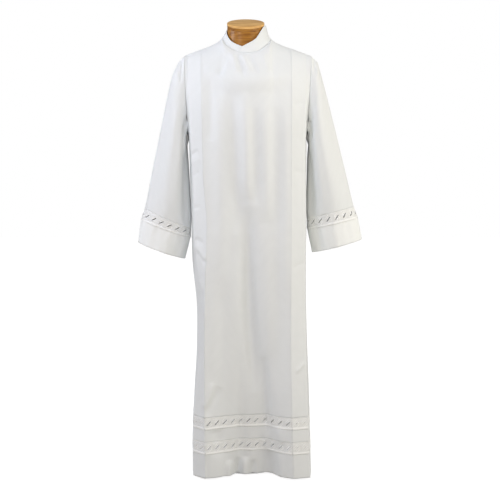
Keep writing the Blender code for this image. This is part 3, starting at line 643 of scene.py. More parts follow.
def smoothstep(low, high, value):
    share = np.clip((value - low) / (high - low), 0, 1)
    return share * share * (3 - 2 * share)


def place(x, y, z):
    """Points as an array whose last axis is x, y, z."""
    return np.stack(np.broadcast_arrays(x, y, z), axis=-1).astype(float)


def paired(first, second):
    """Two arrays of floats, brought to one shape."""
    return np.broadcast_arrays(np.asarray(first, float), np.asarray(second, float))


def unit(vectors):
    return vectors / np.linalg.norm(vectors, axis=-1, keepdims=True)


def table_at(columns, rows, values):
    """Every column at the values of the first one, joined by smooth curves."""
    rows = np.array(sorted(rows))
    keys = rows[:, 0]
    count = len(keys)
    index = np.clip(np.searchsorted(keys, values) - 1, 0, count - 2)
    after = np.minimum(np.arange(count) + 1, count - 1)
    before = np.maximum(np.arange(count) - 1, 0)
    slopes = (rows[after] - rows[before]) / (keys[after] - keys[before])[:, None]
    span = keys[index + 1] - keys[index]
    t = np.clip((values - keys[index]) / span, 0, 1)[..., None]
    span = span[..., None]
    found = (
        (2 * t**3 - 3 * t**2 + 1) * rows[index]
        + (t**3 - 2 * t**2 + t) * slopes[index] * span
        + (3 * t**2 - 2 * t**3) * rows[index + 1]
        + (t**3 - t**2) * slopes[index + 1] * span
    )
    return {name: found[..., place_in_row] for place_in_row, name in enumerate(columns)}


def by_side(pair, side):
    return np.where(side < 0, pair[0], pair[1])


def crease_relief(creases, a, b):
    """How far soft ridges lift the cloth at (a, b); troughs have a negative rise."""
    total = np.zeros(np.broadcast(a, b).shape)
    for row in creases:
        crease = dict(zip(CREASE_COLUMNS, row))
        run_a, run_b = crease["a1"] - crease["a0"], crease["b1"] - crease["b0"]
        length = math.hypot(run_a, run_b)
        share = ((a - crease["a0"]) * run_a + (b - crease["b0"]) * run_b) / length**2
        share = np.clip(share, 0, 1)
        bow = crease["bow"] * 4 * share * (1 - share)
        off_a = a - crease["a0"] - run_a * share + run_b / length * bow
        off_b = b - crease["b0"] - run_b * share - run_a / length * bow
        fade = 1 - (2 * share - 1) ** 4
        total += crease["rise"] * fade * np.exp(-(off_a**2 + off_b**2) / crease["half_width"] ** 2)
    return total


# ---------------------------------------------------------------- body surface
# `across` runs from the wearer's right to left: side seam 0, pleat fold 1, crease 2,
# crease 3, fold 4, side seam 5. `down` runs from the shoulder 0 to the underarm 1 to
# the hem 2. Both are arrays.


def side_of(across):
    return np.where(across < MIDDLE, -1.0, 1.0)


def fold_depth(facing, x, z):
    total = np.zeros(np.broadcast(x, z).shape)
    for row in FRONT_FOLDS if facing < 0 else BACK_FOLDS:
        fold = dict(zip(FOLD_COLUMNS, row))
        share = smoothstep(fold["z_top"], HEM_Z, z)
        centre = lerp(fold["x_top"], fold["x_hem"], share)
        total += fold["depth"] * share * np.exp(-(((x - centre) / fold["half_width"]) ** 2))
    return total


def pleat_edges(facing, side, z):
    """Crease, fold and seam of one side of each ring."""
    row = table_at(SKIRT_COLUMNS, SKIRT_SECTIONS, z)
    depth = row["front_crease" if facing < 0 else "back_crease"]
    crease_x = np.where(side < 0, row["crease_r"], row["crease_l"])
    fold_x = np.where(side < 0, row["fold_r"], row["fold_l"])
    seam_x = np.where(side < 0, row["seam_r"], row["seam_l"])
    fold_y = depth - np.sqrt(PLEAT_WIDTH**2 - (fold_x - crease_x) ** 2)
    crease = place(side * crease_x, facing * depth, z)
    fold = place(side * fold_x, facing * fold_y, z)
    return crease, fold, place(side * seam_x, facing * SIDE_SEAM_HALF_GAP, z)


def curve_to_side(fold, seam, side, share):
    middle = (fold + seam) / 2 + place(side * SIDE_BULGE, 0, 0)
    share = share[..., None]
    return fold * (1 - share) ** 2 + middle * 2 * share * (1 - share) + seam * share**2


def ring_point(facing, across, z):
    side = side_of(across)
    beyond = np.abs(across - MIDDLE) - 0.5
    crease, fold, seam = pleat_edges(facing, side, z)
    flank = curve_to_side(fold, seam, side, np.clip(beyond - 1, 0, 1))
    strip = lerp(crease, fold, np.clip(beyond, 0, 1)[..., None])
    row = table_at(SKIRT_COLUMNS, SKIRT_SECTIONS, z)
    share = np.clip(across - 2, 0, 1)
    x = lerp(-row["crease_r"], row["crease_l"], share)
    swell = np.abs(np.sin(np.pi * share)) ** SWELL_POWER
    edge = row["front_crease" if facing < 0 else "back_crease"]
    middle = row["front_centre" if facing < 0 else "back_centre"]
    depth = lerp(edge, middle, swell) - fold_depth(facing, x, z) * swell**FOLD_FADE_POWER
    centre = place(x, facing * depth, z)
    beyond = beyond[..., None]
    return np.where(beyond > 1, flank, np.where(beyond > 0, strip, centre))


def neckline(angle):
    """Neck seam at angles from the centre front."""
    z = NECK_SIDE_Z - NECK_DIP[0] * np.cos(angle) - NECK_DIP[1] * np.cos(angle) ** 2
    z = z + by_side(NECK_RISE, np.sin(angle)) * np.abs(np.sin(angle)) ** NECK_RISE_POWER
    y = NECK_CENTRE_Y - NECK_HALF_DEPTH * np.cos(angle)
    return place(NECK_HALF_WIDTH * np.sin(angle), y, z)


def shoulder(side, x):
    share = (x - NECK_HALF_WIDTH) / (by_side(SHOULDER_TIP_X, side) - NECK_HALF_WIDTH)
    z = lerp(NECK_SIDE_Z, SHOULDER_TIP_Z, share) - SHOULDER_SAG * np.sin(np.pi * share)
    z = z + by_side(NECK_RISE, side) * np.exp((NECK_HALF_WIDTH - x) / NECK_RISE_REACH)
    return place(side * x, lerp(NECK_CENTRE_Y, 0, share), z)


def top_edge(facing, across):
    """Where each thread of the panel starts, on the shoulder seam or the neckline."""
    side = side_of(across)
    beyond = np.abs(across - MIDDLE) - 0.5
    share = np.abs(2 * across - 5)
    crease_x = by_side(SHOULDER_CREASE_X, side)
    strip_x = lerp(crease_x, by_side(SHOULDER_FOLD_X, side), beyond)
    centre_x = lerp(NECK_HALF_WIDTH, crease_x, (share - NECK_SHARE) / (1 - NECK_SHARE))
    seam = shoulder(side, np.where(beyond > 0, strip_x, centre_x))
    seam[..., 1] += facing * SHOULDER_SETBACK
    turn = share / NECK_SHARE * np.pi / 2
    neck = neckline(side * turn if facing < 0 else side * (np.pi - turn))
    return np.where(((beyond <= 0) & (share <= NECK_SHARE))[..., None], neck, seam)


def armhole(side, angle):
    """Armhole seam at angles from its top, turning forward."""
    top = place(side * by_side(SHOULDER_TIP_X, side), 0, SHOULDER_TIP_Z)
    seam_x = pleat_edges(-1, side, np.full_like(angle, UNDERARM_Z))[2][..., 0]
    bottom = place(seam_x, 0, UNDERARM_Z)
    middle, reach = (top + bottom) / 2, (top - bottom) / 2
    depth = place(0, ARMHOLE_HALF_DEPTH * np.sin(angle), 0)
    return middle + reach * np.cos(angle)[..., None] - depth


def yoke_thread(facing, across, down):
    """Points of the threads that run from the top edge to the underarm level."""
    start = top_edge(facing, across)
    end = ring_point(facing, across, np.full_like(across, UNDERARM_Z))
    high = place(
        lerp(start[..., 0], end[..., 0], YOKE_TOP_X_SHARE),
        lerp(start[..., 1], end[..., 1], YOKE_TOP_Y_SHARE),
        start[..., 2] - YOKE_TOP_DROP,
    )
    low = place(
        lerp(start[..., 0], end[..., 0], YOKE_LOW_X_SHARE),
        end[..., 1] + facing * YOKE_LOW_SWELL,
        end[..., 2] + YOKE_LOW_RISE,
    )
    down = down[..., None]
    rest = 1 - down
    return start * rest**3 + high * 3 * down * rest**2 + low * 3 * down**2 * rest + end * down**3


def body_point(facing, across, down):
    across, down = paired(across, down)
    skirt = ring_point(facing, across, lerp(UNDERARM_Z, HEM_Z, np.maximum(down, 1) - 1))
    if np.all(down >= 1):
        return skirt
    high = np.clip(down, 0, 1)
    inner = yoke_thread(facing, np.clip(across, 1, 4), high)
    side = side_of(across)
    edge = armhole(side, np.pi * high)
    gap = lerp(SHOULDER_SETBACK, SIDE_SEAM_HALF_GAP, high)
    edge[..., 1] = facing * (gap - edge[..., 1])
    beyond = np.abs(across - MIDDLE) - 1.5
    outer = curve_to_side(inner, edge, side, np.clip(beyond, 0, 1))
    yoke = np.where((beyond > 0)[..., None], outer, inner)
    return np.where((down >= 1)[..., None], skirt, yoke)


def body_frame(facing, across, down):
    """Directions out of the cloth and along it, away from the middle."""
    step = BODY_STEP
    left = body_point(facing, np.minimum(2 * MIDDLE, across + step), down)
    right = body_point(facing, np.maximum(0.0, across - step), down)
    below = body_point(facing, across, np.minimum(2.0, down + step))
    above = body_point(facing, across, np.maximum(0.0, down - step))
    normal = unit(np.cross(left - right, below - above)) * facing
    return normal, unit(left - right) * side_of(across)[..., None]


def eased(across, layer):
    """Layer of the cloth, raised beside a crease; the pleat itself keeps its own."""
    off = 0.5 - np.abs(across - MIDDLE)
    rise = EASE_LAYERS * np.exp(-np.maximum(off, 0) / EASE_REACH)
    return layer + rise * smoothstep(0, EASE_START, off)


def cloth_point(facing, across, layer, bulge, down):
    """Point of the cloth with its creases, on a layer of its pleat.

    `bulge` moves the round of a fold outward along the pleat's face.
    """
    across, layer, bulge, down = np.broadcast_arrays(across, layer, bulge, down)
    point = body_point(facing, across, down)
    normal = body_frame(facing, across, down)[0]
    creases = FRONT_CREASES if facing < 0 else BACK_CREASES
    point = point + normal * crease_relief(creases, point[..., 0], point[..., 2])[..., None]
    beyond = np.clip(np.abs(across - MIDDLE) - 0.5, *PLEAT_SHARES)
    strip = MIDDLE + side_of(across) * (0.5 + beyond)
    lift, outward = body_frame(facing, strip, down)
    height = LAYER_PITCH * eased(across, layer)
    return point + lift * height[..., None] + outward * bulge[..., None]


def down_at(z):
    return 1 + (UNDERARM_Z - z) / (UNDERARM_Z - HEM_Z)


def turn_columns(share, low, high, outward, steps):
    """Columns round a fold at a share of the pleat, from one layer to another."""
    columns = []
    for step in range(1, steps):
        angle = math.pi * step / steps
        layer = lerp(low, high, (1 - math.cos(angle)) / 2)
        bulge = outward * math.sin(angle) * abs(high - low) * LAYER_PITCH / 2
        columns.append((share, layer, bulge))
    return columns


def run_columns(start, end, layer, steps):
    return [(lerp(start, end, step / steps), layer, 0.0) for step in range(steps + 1)]


def half_columns(side_steps, layer_steps, face_steps, shares):
    """(across, layer, bulge) of a half, from the right side seam to the left one.

    `layer_steps` and `face_steps` part a pleat's middle layer and its face, and `shares`
    are the places across the centre.
    """
    far, near = 0.5 + PLEAT_SPLIT, 0.5 - PLEAT_SPLIT
    inner, outer = TURN_STEPS
    pleat = [
        *run_columns(1, far, 0, HIDDEN_STEPS),
        *turn_columns(far, 0, 1, -1, inner),
        *run_columns(far, 1, 1, layer_steps),
        *turn_columns(1, 1, 2, 1, outer),
        *run_columns(1, 0, 2, face_steps),
        *turn_columns(0, 2, 1, -1, outer),
        *run_columns(0, near, 1, layer_steps),
        *turn_columns(near, 1, 0, 1, inner),
        *run_columns(near, 0, 0, HIDDEN_STEPS),
    ]
    right = [(step / side_steps, 0, 0.0) for step in range(side_steps)]
    right += [(2 - share, layer, bulge) for share, layer, bulge in pleat]
    centre = [(2 + share, 0, 0.0) for share in shares]
    left = [(2 * MIDDLE - across, layer, bulge) for across, layer, bulge in reversed(right)]
    return right + centre + left


def body_columns(side_steps, face_steps, centre_steps):
    shares = [*EASE_COLUMNS, *(step / centre_steps for step in range(1, centre_steps))]
    shares += [1 - share for share in EASE_COLUMNS]
    return np.array(half_columns(side_steps, HIDDEN_STEPS, face_steps, sorted(shares)))


# ---------------------------------------------------------------- sleeve and collar


def sleeve_ring(side, along, angle):
    along, angle = paired(along, angle)
    rows = SLEEVE_SECTIONS[side]
    first = rows[0][0]
    row = table_at(SLEEVE_COLUMNS, rows, np.maximum(along, first))
    outer = place(side * row["outer_x"], 0, row["outer_z"])
    start, full, last, end = SLEEVE_REST_ALONG
    rest = smoothstep(start, full, along) * (1 - smoothstep(last, end, along))
    inner = place(side * (row["inner_x"] - SLEEVE_REST * rest), 0, row["inner_z"])
    middle, reach = (outer + inner) / 2, (outer - inner) / 2
    phase = SLEEVE_WAVES_ROUND * angle + SLEEVE_WAVE_START + SLEEVE_WAVE_TWIST * along
    depth = row["half_depth"] + SLEEVE_WAVE * np.sin(phase) * smoothstep(*SLEEVE_WAVE_FADE, along)
    ring = middle + reach * np.cos(angle)[..., None] - place(0, depth * np.sin(angle), 0)
    setback = lerp(ARMHOLE_SETBACK, UNDERARM_SETBACK, (1 - np.cos(angle)) / 2)
    start = armhole(np.full_like(angle, side), angle) + place(side * setback, 0, 0)
    share = np.clip(along / first, 0, 1)[..., None]
    return lerp(start, ring, share)


def sleeve_point(side, along, angle):
    """Point of a sleeve with its creases."""
    along, angle = paired(along, angle)
    step = SLEEVE_STEP
    point = sleeve_ring(side, along, angle)
    round_it = sleeve_ring(side, along, angle + step) - sleeve_ring(side, along, angle - step)
    above = sleeve_ring(side, np.maximum(along - step, 0), angle)
    down_it = sleeve_ring(side, along + step, angle) - above
    normal = unit(np.cross(round_it, down_it)) * side
    quarter = np.mod(angle, 2 * np.pi) / (np.pi / 2)
    relief = crease_relief(SLEEVE_CREASES[side], quarter, along)
    return point + normal * relief[..., None]


def even_angles(side, along, start, end, count):
    """Angles that part a stretch of a sleeve's ring into equal lengths."""
    angles = np.linspace(start, end, RING_STEPS + 1)
    ring = sleeve_ring(side, along, angles)
    run = np.concatenate([[0], np.cumsum(np.linalg.norm(np.diff(ring, axis=0), axis=1))])
    return np.interp(np.linspace(0, run[-1], count + 1), run, angles)


def collar_point(degrees, up):
    """Point of the collar at angles from the centre back and shares of its height."""
    angle = np.radians(degrees)
    out = place(np.sin(angle), np.cos(angle), 0)
    base = neckline(math.pi - angle)
    base[..., 2] += COLLAR_SEAT
    top_z = table_at(("degrees", "z"), COLLAR_TOP, degrees)["z"]
    rise = by_side(NECK_RISE, np.sin(angle)) * np.abs(np.sin(angle)) ** NECK_RISE_POWER
    full = COLLAR_FULL_HEIGHT - rise
    hug = smoothstep(*COLLAR_HUG_FROM, -out[..., 0])
    height = np.minimum(1.0, (top_z - base[..., 2]) / full) ** lerp(1.0, COLLAR_HUG_POWERS[0], hug)
    lean = height * up ** lerp(COLLAR_LEAN_POWER, COLLAR_HUG_POWERS[1], hug)
    half_width = by_side(COLLAR_TOP_HALF_WIDTH, out[..., 0])
    point = place(
        lerp(base[..., 0], COLLAR_TOP_CENTRE_X + half_width * out[..., 0], lean),
        lerp(base[..., 1], NECK_CENTRE_Y + COLLAR_TOP_HALF_DEPTH * out[..., 1], lean),
        lerp(base[..., 2], top_z, up),
    )
    return point + out * (COLLAR_LAP * smoothstep(*COLLAR_LAP_DEGREES, degrees))[..., None]


# ---------------------------------------------------------------- meshes


def add_piece(name, points, faces, uvs, material, slot, replaced=()):
    """A piece of the object, from its points, faces and the UV of each face's corners."""
    mesh = bpy.data.meshes.new(name)
    mesh.from_pydata(np.asarray(points).reshape(-1, 3).tolist(), [], faces)
    if uvs is not None:
        layer = mesh.uv_layers.new(name="metres")
        layer.data.foreach_set("uv", np.asarray(uvs, float).ravel())
    mesh.validate()
    mesh.shade_smooth()
    mesh.materials.append(material)
    made = bpy.data.objects.new(name, mesh)
    bpy.context.scene.collection.objects.link(made)
    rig.slot(made, slot)
    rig.ride(made, "root")
    if replaced:
        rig.replaces(made, *replaced)
    return made


def thicken(made, thickness):
    wall = made.modifiers.new("wall", "SOLIDIFY")
    wall.thickness = thickness
    wall.offset = 0
    wall.use_quality_normals = True


def running_length(points, axis):
    steps = np.linalg.norm(np.diff(points, axis=axis), axis=-1)
    start = np.zeros_like(np.take(steps, [0], axis=axis))
    return np.cumsum(np.concatenate([start, steps], axis=axis), axis=axis)


def grid_of(points, wrap, flip):
    """Quads of a grid of points (rows, columns, 3) and their corners' UVs in metres."""
    rows, columns = points.shape[:2]
    closed = np.concatenate([points, points[:, :1]], axis=1) if wrap else points
    uv = np.stack([running_length(closed, 1), running_length(closed, 0)], axis=-1)
    row = np.arange(rows - 1)[:, None]
    column = np.arange(columns if wrap else columns - 1)[None, :]
    offsets = ((0, 0), (0, 1), (1, 1), (1, 0))
    if flip:
        offsets = offsets[::-1]
    quads = [(row + down) * columns + (column + over) % columns for down, over in offsets]
    corners = [uv[row + down, column + over] for down, over in offsets]
    quads = np.stack(quads, axis=-1).reshape(-1, 4)
    return quads.tolist(), np.stack(corners, axis=-2).reshape(-1, 2)


def add_cloth(name, points, wrap, flip, thickness=CLOTH_WALL):
    """A cloth from its grid of points, which replaces the node that it is named after."""
    faces, uvs = grid_of(points, wrap, flip)
    # The cuffs take a whiter copy of the cloth, painted light
    material = MATERIALS["cuff" if name.startswith("cuff") else "cloth"]
    replaced = [name.removesuffix("_cloth")]
    thicken(add_piece(name, points, faces, uvs, material, "cloth", replaced), thickness)


def merged(points, faces):
    """Points and faces with the points of neighbouring patches joined."""
    keys = np.round(np.asarray(points) / JOIN_PITCH).astype(np.int64)
    _, first, index = np.unique(keys, axis=0, return_index=True, return_inverse=True)
    index = index.reshape(-1)
    return np.asarray(points)[first], [[int(index[corner]) for corner in face] for face in faces]


# ---------------------------------------------------------------- stitches and bars


class Raised:
    """Small raised lengths of thread, gathered into one mesh."""

    def __init__(self):
        self.points = []
        self.faces = []

    def add(self, path, normals, half_width, height, taper=True):
        """A rounded bar along a path of points, lying on the cloth."""
        path, normals = np.asarray(path), np.asarray(normals)
        along = unit(np.gradient(path, axis=0))
        across = unit(np.cross(along, normals))
        share = np.linspace(-1, 1, len(path))
        swell = np.ones(len(path))
        if taper:
            swell = np.sqrt(np.clip(1 + BAR_TIP - share**4, BAR_TIP, 1))
        first = sum(len(block) for block in self.points)
        turns = np.linspace(0, math.pi, BAR_SIDES)
        ring = [
            path
            + across * (half_width * swell * math.cos(turn))[:, None]
            + normals * (height * swell * math.sin(turn))[:, None]
            for turn in turns
        ]
        self.points.append(np.stack(ring, axis=1).reshape(-1, 3))
        count = BAR_SIDES
        for step in range(len(path) - 1):
            low = first + step * count
            for side in range(count - 1):
                near, far = low + side, low + count + side
                self.faces.append((near, near + 1, far + 1, far))
            self.faces.append((low, low + count, low + 2 * count - 1, low + count - 1))
        last = first + (len(path) - 1) * count
        self.faces.append(tuple(range(first, first + count))[::-1])
        self.faces.append(tuple(range(last, last + count)))

    def build(self, name, slot):
        points = np.concatenate(self.points)
        add_piece(name, points, self.faces, None, MATERIALS["satin"], slot)


def resampled(path, normals):
    """Places and normals of stitches at even distances along a path."""
    run = running_length(path, 0)
    count = max(2, int(round(run[-1] / STITCH_PITCH)))
    places = (np.arange(count) + 0.5) * run[-1] / count
    found = [np.interp(places, run, values) for values in (*path.T, *normals.T)]
    return np.stack(found[:3], -1), unit(np.stack(found[3:], -1))


def add_stitches(name, lines):
    """Rows of stitches along several lines of (path, normals)."""
    thread = Raised()
    for path, normals in lines:
        places, up = resampled(path, normals)
        along = unit(np.gradient(places, axis=0))
        for spot, normal, ahead in zip(places, up, along):
            ends = spot + np.array([[-0.5], [0.0], [0.5]]) * STITCH_LENGTH * ahead
            up_there = np.repeat(normal[None], 3, axis=0)
            thread.add(ends, up_there, STITCH_HALF_WIDTH, STITCH_HEIGHT)
    thread.build(name, "cloth")


# ---------------------------------------------------------------- materials


def add_node(tree, kind, inputs, **settings):
    made = tree.nodes.new(kind)
    for key, value in settings.items():
        setattr(made, key, value)
    for key, value in inputs.items():
        if isinstance(value, bpy.types.NodeSocket):
            tree.links.new(value, made.inputs[key])
        else:
            made.inputs[key].default_value = value
    return made


def new_material(name, roughness, **fixed):
    made = bpy.data.materials.new(name)
    made.use_nodes = True
    shader = made.node_tree.nodes["Principled BSDF"]
    shader.inputs["Roughness"].default_value = roughness
    for key, value in fixed.items():
        shader.inputs[key.replace("_", " ")].default_value = value
    return made, made.node_tree, shader


def bands(tree, coordinates, period, direction):
    """Even bands, one every `period` metres."""
    scale = 2 * math.pi / (WAVE_PHASE * period)
    inputs = {"Vector": coordinates, "Scale": scale, "Distortion": 0.0}
    made = add_node(tree, "ShaderNodeTexWave", inputs, bands_direction=direction)
    return made.outputs["Fac"]


def maths(tree, operation, first, second):
    made = add_node(tree, "ShaderNodeMath", {0: first, 1: second}, operation=operation)
    return made.outputs[0]


def noise(tree, coordinates, scale, detail=2.0):
    inputs = {"Vector": coordinates, "Scale": scale, "Detail": detail}
    return add_node(tree, "ShaderNodeTexNoise", inputs).outputs["Fac"]


def two_tones(tree, factor, low, high, spread=(0.0, 1.0)):
    ramp = add_node(tree, "ShaderNodeValToRGB", {"Fac": factor})
    for element, position, tone in zip(ramp.color_ramp.elements, spread, (low, high)):
        element.position = position
        element.color = (*tone, 1)
    return ramp.outputs["Color"]


def add_finish(tree, shader, tone, height, relief):
    """Colour of a material and its relief, too fine to model."""
    inputs = {"Height": height, "Distance": relief[0], "Strength": relief[1]}
    bump = add_node(tree, "ShaderNodeBump", inputs)
    tree.links.new(bump.outputs["Normal"], shader.inputs["Normal"])
    tree.links.new(tone, shader.inputs["Base Color"])


def metres_of(tree):
    return add_node(tree, "ShaderNodeUVMap", {}, uv_map="metres").outputs["UV"]


def place_of(tree):
    return add_node(tree, "ShaderNodeTexCoord", {}).outputs["Object"]


def woven(tree, coordinates, pitch):
    """The higher of two crossing sets of threads."""
    threads = [bands(tree, coordinates, pitch, direction) for direction in "XY"]
    return maths(tree, "MAXIMUM", *threads)


def cloth_material(name, tones):
    """Plain-woven suiting, off-white, with a soft nap."""
    made, tree, shader = new_material(
        name, 0.82, Sheen_Weight=0.12, Sheen_Roughness=0.5, Specular_IOR_Level=0.25
    )
    uv = metres_of(tree)
    height = maths(tree, "ADD", woven(tree, uv, WEAVE_PITCH), noise(tree, uv, SLUB_SCALE))
    tone = two_tones(tree, noise(tree, uv, CLOTH_SCALE), *tones)
    add_finish(tree, shader, tone, height, CLOTH_RELIEF)
    return made


def net_material():
    """Ground net of the lace: diamonds of thread, with painted shade in the gaps between them for the dark seen
    through the net's holes.
    """
    made, tree, shader = new_material("lace_net", 0.8, Specular_IOR_Level=0.2)
    inputs = {"Vector": metres_of(tree), "Rotation": (0, 0, math.radians(45))}
    turned = add_node(tree, "ShaderNodeMapping", inputs).outputs["Vector"]
    threads = woven(tree, turned, NET_PITCH)
    add_finish(tree, shader, two_tones(tree, threads, *NET_THREAD_AND_SHADE_TONES), threads, NET_RELIEF)
    return made


def banded_material(name, roughness, tones, scale, pitch, direction, relief, **fixed):
    """Blotched tones under a relief of even bands."""
    made, tree, shader = new_material(name, roughness, **fixed)
    spot = place_of(tree)
    tone = two_tones(tree, noise(tree, spot, scale), *tones)
    add_finish(tree, shader, tone, bands(tree, spot, pitch, direction), relief)
    return made


def wood_material():
    """Varnished wood whose grain runs across, lighter on top of the cap and darker beneath it: painted light on the
    top, painted shade on the sides and the neck block.
    """
    made, tree, shader = new_material(
        "form_wood", 0.36, Coat_Weight=0.15, Coat_Roughness=0.2, Specular_IOR_Level=0.25
    )
    spot = place_of(tree)
    inputs = {"Vector": spot, "Rotation": WOOD_TURN, "Scale": WOOD_STRETCH}
    streak = add_node(tree, "ShaderNodeMapping", inputs)
    grain = noise(tree, streak.outputs["Vector"], GRAIN_SCALE, GRAIN_DETAIL)
    tones = [two_tones(tree, grain, *pair, WOOD_SPREAD) for pair in (SHADED_SIDE_TONES, LIT_TOP_TONES)]
    # Above the cap's rim the wood takes its painted light, below it its painted shade
    axis = Vector((0, -math.sin(CAP_TILT), math.cos(CAP_TILT)))
    height = add_node(tree, "ShaderNodeVectorMath", {0: spot, 1: axis}, operation="DOT_PRODUCT")
    rim = CAP_CENTRE.dot(axis) - CAP_RIM
    inputs = {"Value": height.outputs["Value"], "From Min": rim - LIGHT_TO_SHADE_BLEND, "From Max": rim}
    lit_top_mask = add_node(tree, "ShaderNodeMapRange", inputs).outputs["Result"]
    inputs = {0: lit_top_mask, 6: tones[0], 7: tones[1]}
    tone = add_node(tree, "ShaderNodeMix", inputs, data_type="RGBA").outputs[2]
    add_finish(tree, shader, tone, grain, WOOD_RELIEF)
    return made


def metal_material():
    """Painted steel of the stand, with a faint orange peel."""
    made, tree, shader = new_material("stand_steel", 0.4, Metallic=1.0)
    peel = noise(tree, place_of(tree), PEEL_SCALE)
    add_finish(tree, shader, two_tones(tree, peel, *METAL_TONES), peel, STEEL_RELIEF)
    return made


def length_of(tree, vector):
    made = add_node(tree, "ShaderNodeVectorMath", {0: vector}, operation="LENGTH")
    return made.outputs["Value"]


def floor_material():
    """White sweep whose glow, painted light, brightens away from the object so that it has no horizon, and drops in a
    painted shadow under and behind the robe.
    """
    made, tree, shader = new_material("studio_floor", 0.9, Specular_IOR_Level=0.0)
    shader.inputs["Base Color"].default_value = FLOOR_GREY
    shader.inputs["Emission Color"].default_value = (1, 1, 1, 1)
    spot = place_of(tree)
    names = ("Value", "From Min", "From Max", "To Min", "To Max")
    inputs = dict(zip(names, (length_of(tree, spot), *FLOOR_BRIGHTENS, *FLOOR_GLOW)))
    glow = add_node(tree, "ShaderNodeMapRange", inputs).outputs["Result"]
    shift = (0, -FOOTPRINT_OFFSET * FOOTPRINT_SCALE[1], 0)
    inputs = {"Vector": spot, "Location": shift, "Scale": FOOTPRINT_SCALE}
    footprint = add_node(tree, "ShaderNodeMapping", inputs)
    near = length_of(tree, footprint.outputs["Vector"])
    # Painted shadow: the floor's glow drops within the robe's footprint
    inputs = dict(zip(names, (near, *FOOTPRINT_EDGE, FLOOR_SHADE)))
    outside = add_node(tree, "ShaderNodeMapRange", inputs, interpolation_type="SMOOTHSTEP")
    glow = maths(tree, "MULTIPLY", glow, outside.outputs["Result"])
    tree.links.new(glow, shader.inputs["Emission Strength"])
    return made


MATERIALS = {
    "cloth": cloth_material("alb_cloth", CLOTH_TONES),
    # Whiter copy of the cloth for the cuffs: painted light
    "cuff": cloth_material("alb_cuff", CUFF_PAINTED_LIGHT_TONES),
    "net": net_material(),
    # Close satin stitch of the lace, its borders and the sewing thread
    "satin": banded_material(
        "lace_satin", 0.5, SATIN_TONES, SATIN_SCALE, SATIN_PITCH, "DIAGONAL", SATIN_RELIEF,
        Specular_IOR_Level=0.4,
    ),
    "wood": wood_material(),
    # Fine knitted cover of the torso
    "jersey": banded_material(
        "form_jersey", 0.9, JERSEY_TONES, JERSEY_SCALE, JERSEY_PITCH, "Z", JERSEY_RELIEF,
        Sheen_Weight=0.1, Specular_IOR_Level=0.2,
    ),
    "steel": metal_material(),
}


# ---------------------------------------------------------------- robe body


def add_body_cloth(name, facing, steps, down):
    """Cloth of the front or back, from its rows down the robe."""
    columns = body_columns(*steps)
    points = cloth_point(facing, *columns.T, down[:, None])
    add_cloth(name, points, False, facing < 0)


def add_body_panel(name, facing):
    """Front or back, from the shoulders to the upper lace."""
    yoke_rows, skirt_rows = PANEL_ROWS[facing]
    yoke = np.linspace(0, 1, yoke_rows)
    skirt = np.linspace(1, down_at(UPPER_LACE_Z[0]), skirt_rows)[1:]
    add_body_cloth(name, facing, PANEL_STEPS[facing], np.concatenate([yoke, skirt]))


def add_body_band(name, facing, top, bottom, rows):
    """Plain strip or hem band between two heights."""
    add_body_cloth(name, facing, BAND_STEPS, down_at(np.linspace(top, bottom, rows)))


def frame_ring(width, height):
    """Points round the edge of a cell about its centre, anticlockwise."""
    x, y = width / 2, height / 2
    corners = ((-x, -y), (x, -y), (x, y), (-x, y), (-x, -y))
    ring = []
    for start, end in zip(corners, corners[1:]):
        for step in range(CELL_SIDE_STEPS):
            share = step / CELL_SIDE_STEPS
            ring.append((lerp(start[0], end[0], share), lerp(start[1], end[1], share)))
    return np.array(ring)


def slit_ring():
    """Points round a slanted slit with rounded ends, matched to those of a cell's edge."""
    radius = SLIT_WIDTH / 2
    reach = SLIT_LENGTH / 2 - radius
    steps = CELL_SIDE_STEPS
    ring = []
    for end in (1, -1):
        for step in range(steps):
            ring.append((end * lerp(-reach, reach, step / steps), -end * radius))
        for step in range(steps):
            turn = math.pi * (step / steps - 0.5)
            ring.append((end * (reach + radius * math.cos(turn)), end * radius * math.sin(turn)))
    c, n = math.cos(SLIT_SLANT), math.sin(SLIT_SLANT)
    return np.array([(x * c - y * n, x * n + y * c) for x, y in ring])


class Patch:
    """One cell of a lace band: maps metres about its centre onto the cloth."""

    def __init__(self, surface, first, second, low, high, mirrored):
        self.surface = surface
        self.first, self.second = np.array(first, float), np.array(second, float)
        self.low, self.high, self.mirrored = low, high, mirrored
        self.height = abs(high - low)
        ends = [surface(key, np.array([low]))[0] for key in (self.first, self.second)]
        self.width = float(np.linalg.norm(ends[1] - ends[0]))

    def at(self, x, y):
        share = 0.5 + (-x if self.mirrored else x) / self.width
        up = 0.5 + y / self.height
        key = lerp(self.first, self.second, share[..., None])
        return self.surface(key, lerp(self.low, self.high, up))

    def framed(self, x, y):
        """Points and their normals."""
        step = FINE_STEP
        beside = np.array([0, step, -step, 0, 0])[:, None]
        above = np.array([0, 0, 0, step, -step])[:, None]
        point, right, left, high, low = self.at(x + beside, y + above)
        return point, unit(np.cross(right - left, high - low))


def satin_bars(thread, patch):
    """Leaf-shaped satin bars above and below a slit and between it and the next one."""
    run = np.linspace(-1, 1, BAR_STEPS)
    c, n = math.cos(SLIT_SLANT), math.sin(SLIT_SLANT)
    bars = []
    for offset, length, half_width in BAR_PLACES:
        along = run * length / 2
        x, y = along * c - offset * n, along * n + offset * c
        beside, above = CELL_MARGINS
        keep = (np.abs(x) < patch.width / 2 - beside) & (np.abs(y) < patch.height / 2 - above)
        if keep.sum() >= 3:
            bars.append((x[keep], y[keep], half_width))
    points, normals = patch.framed(*(np.concatenate(values) for values in list(zip(*bars))[:2]))
    first = 0
    for x, _, half_width in bars:
        last = first + len(x)
        thread.add(points[first:last], normals[first:last], half_width, BAR_HEIGHT)
        first = last


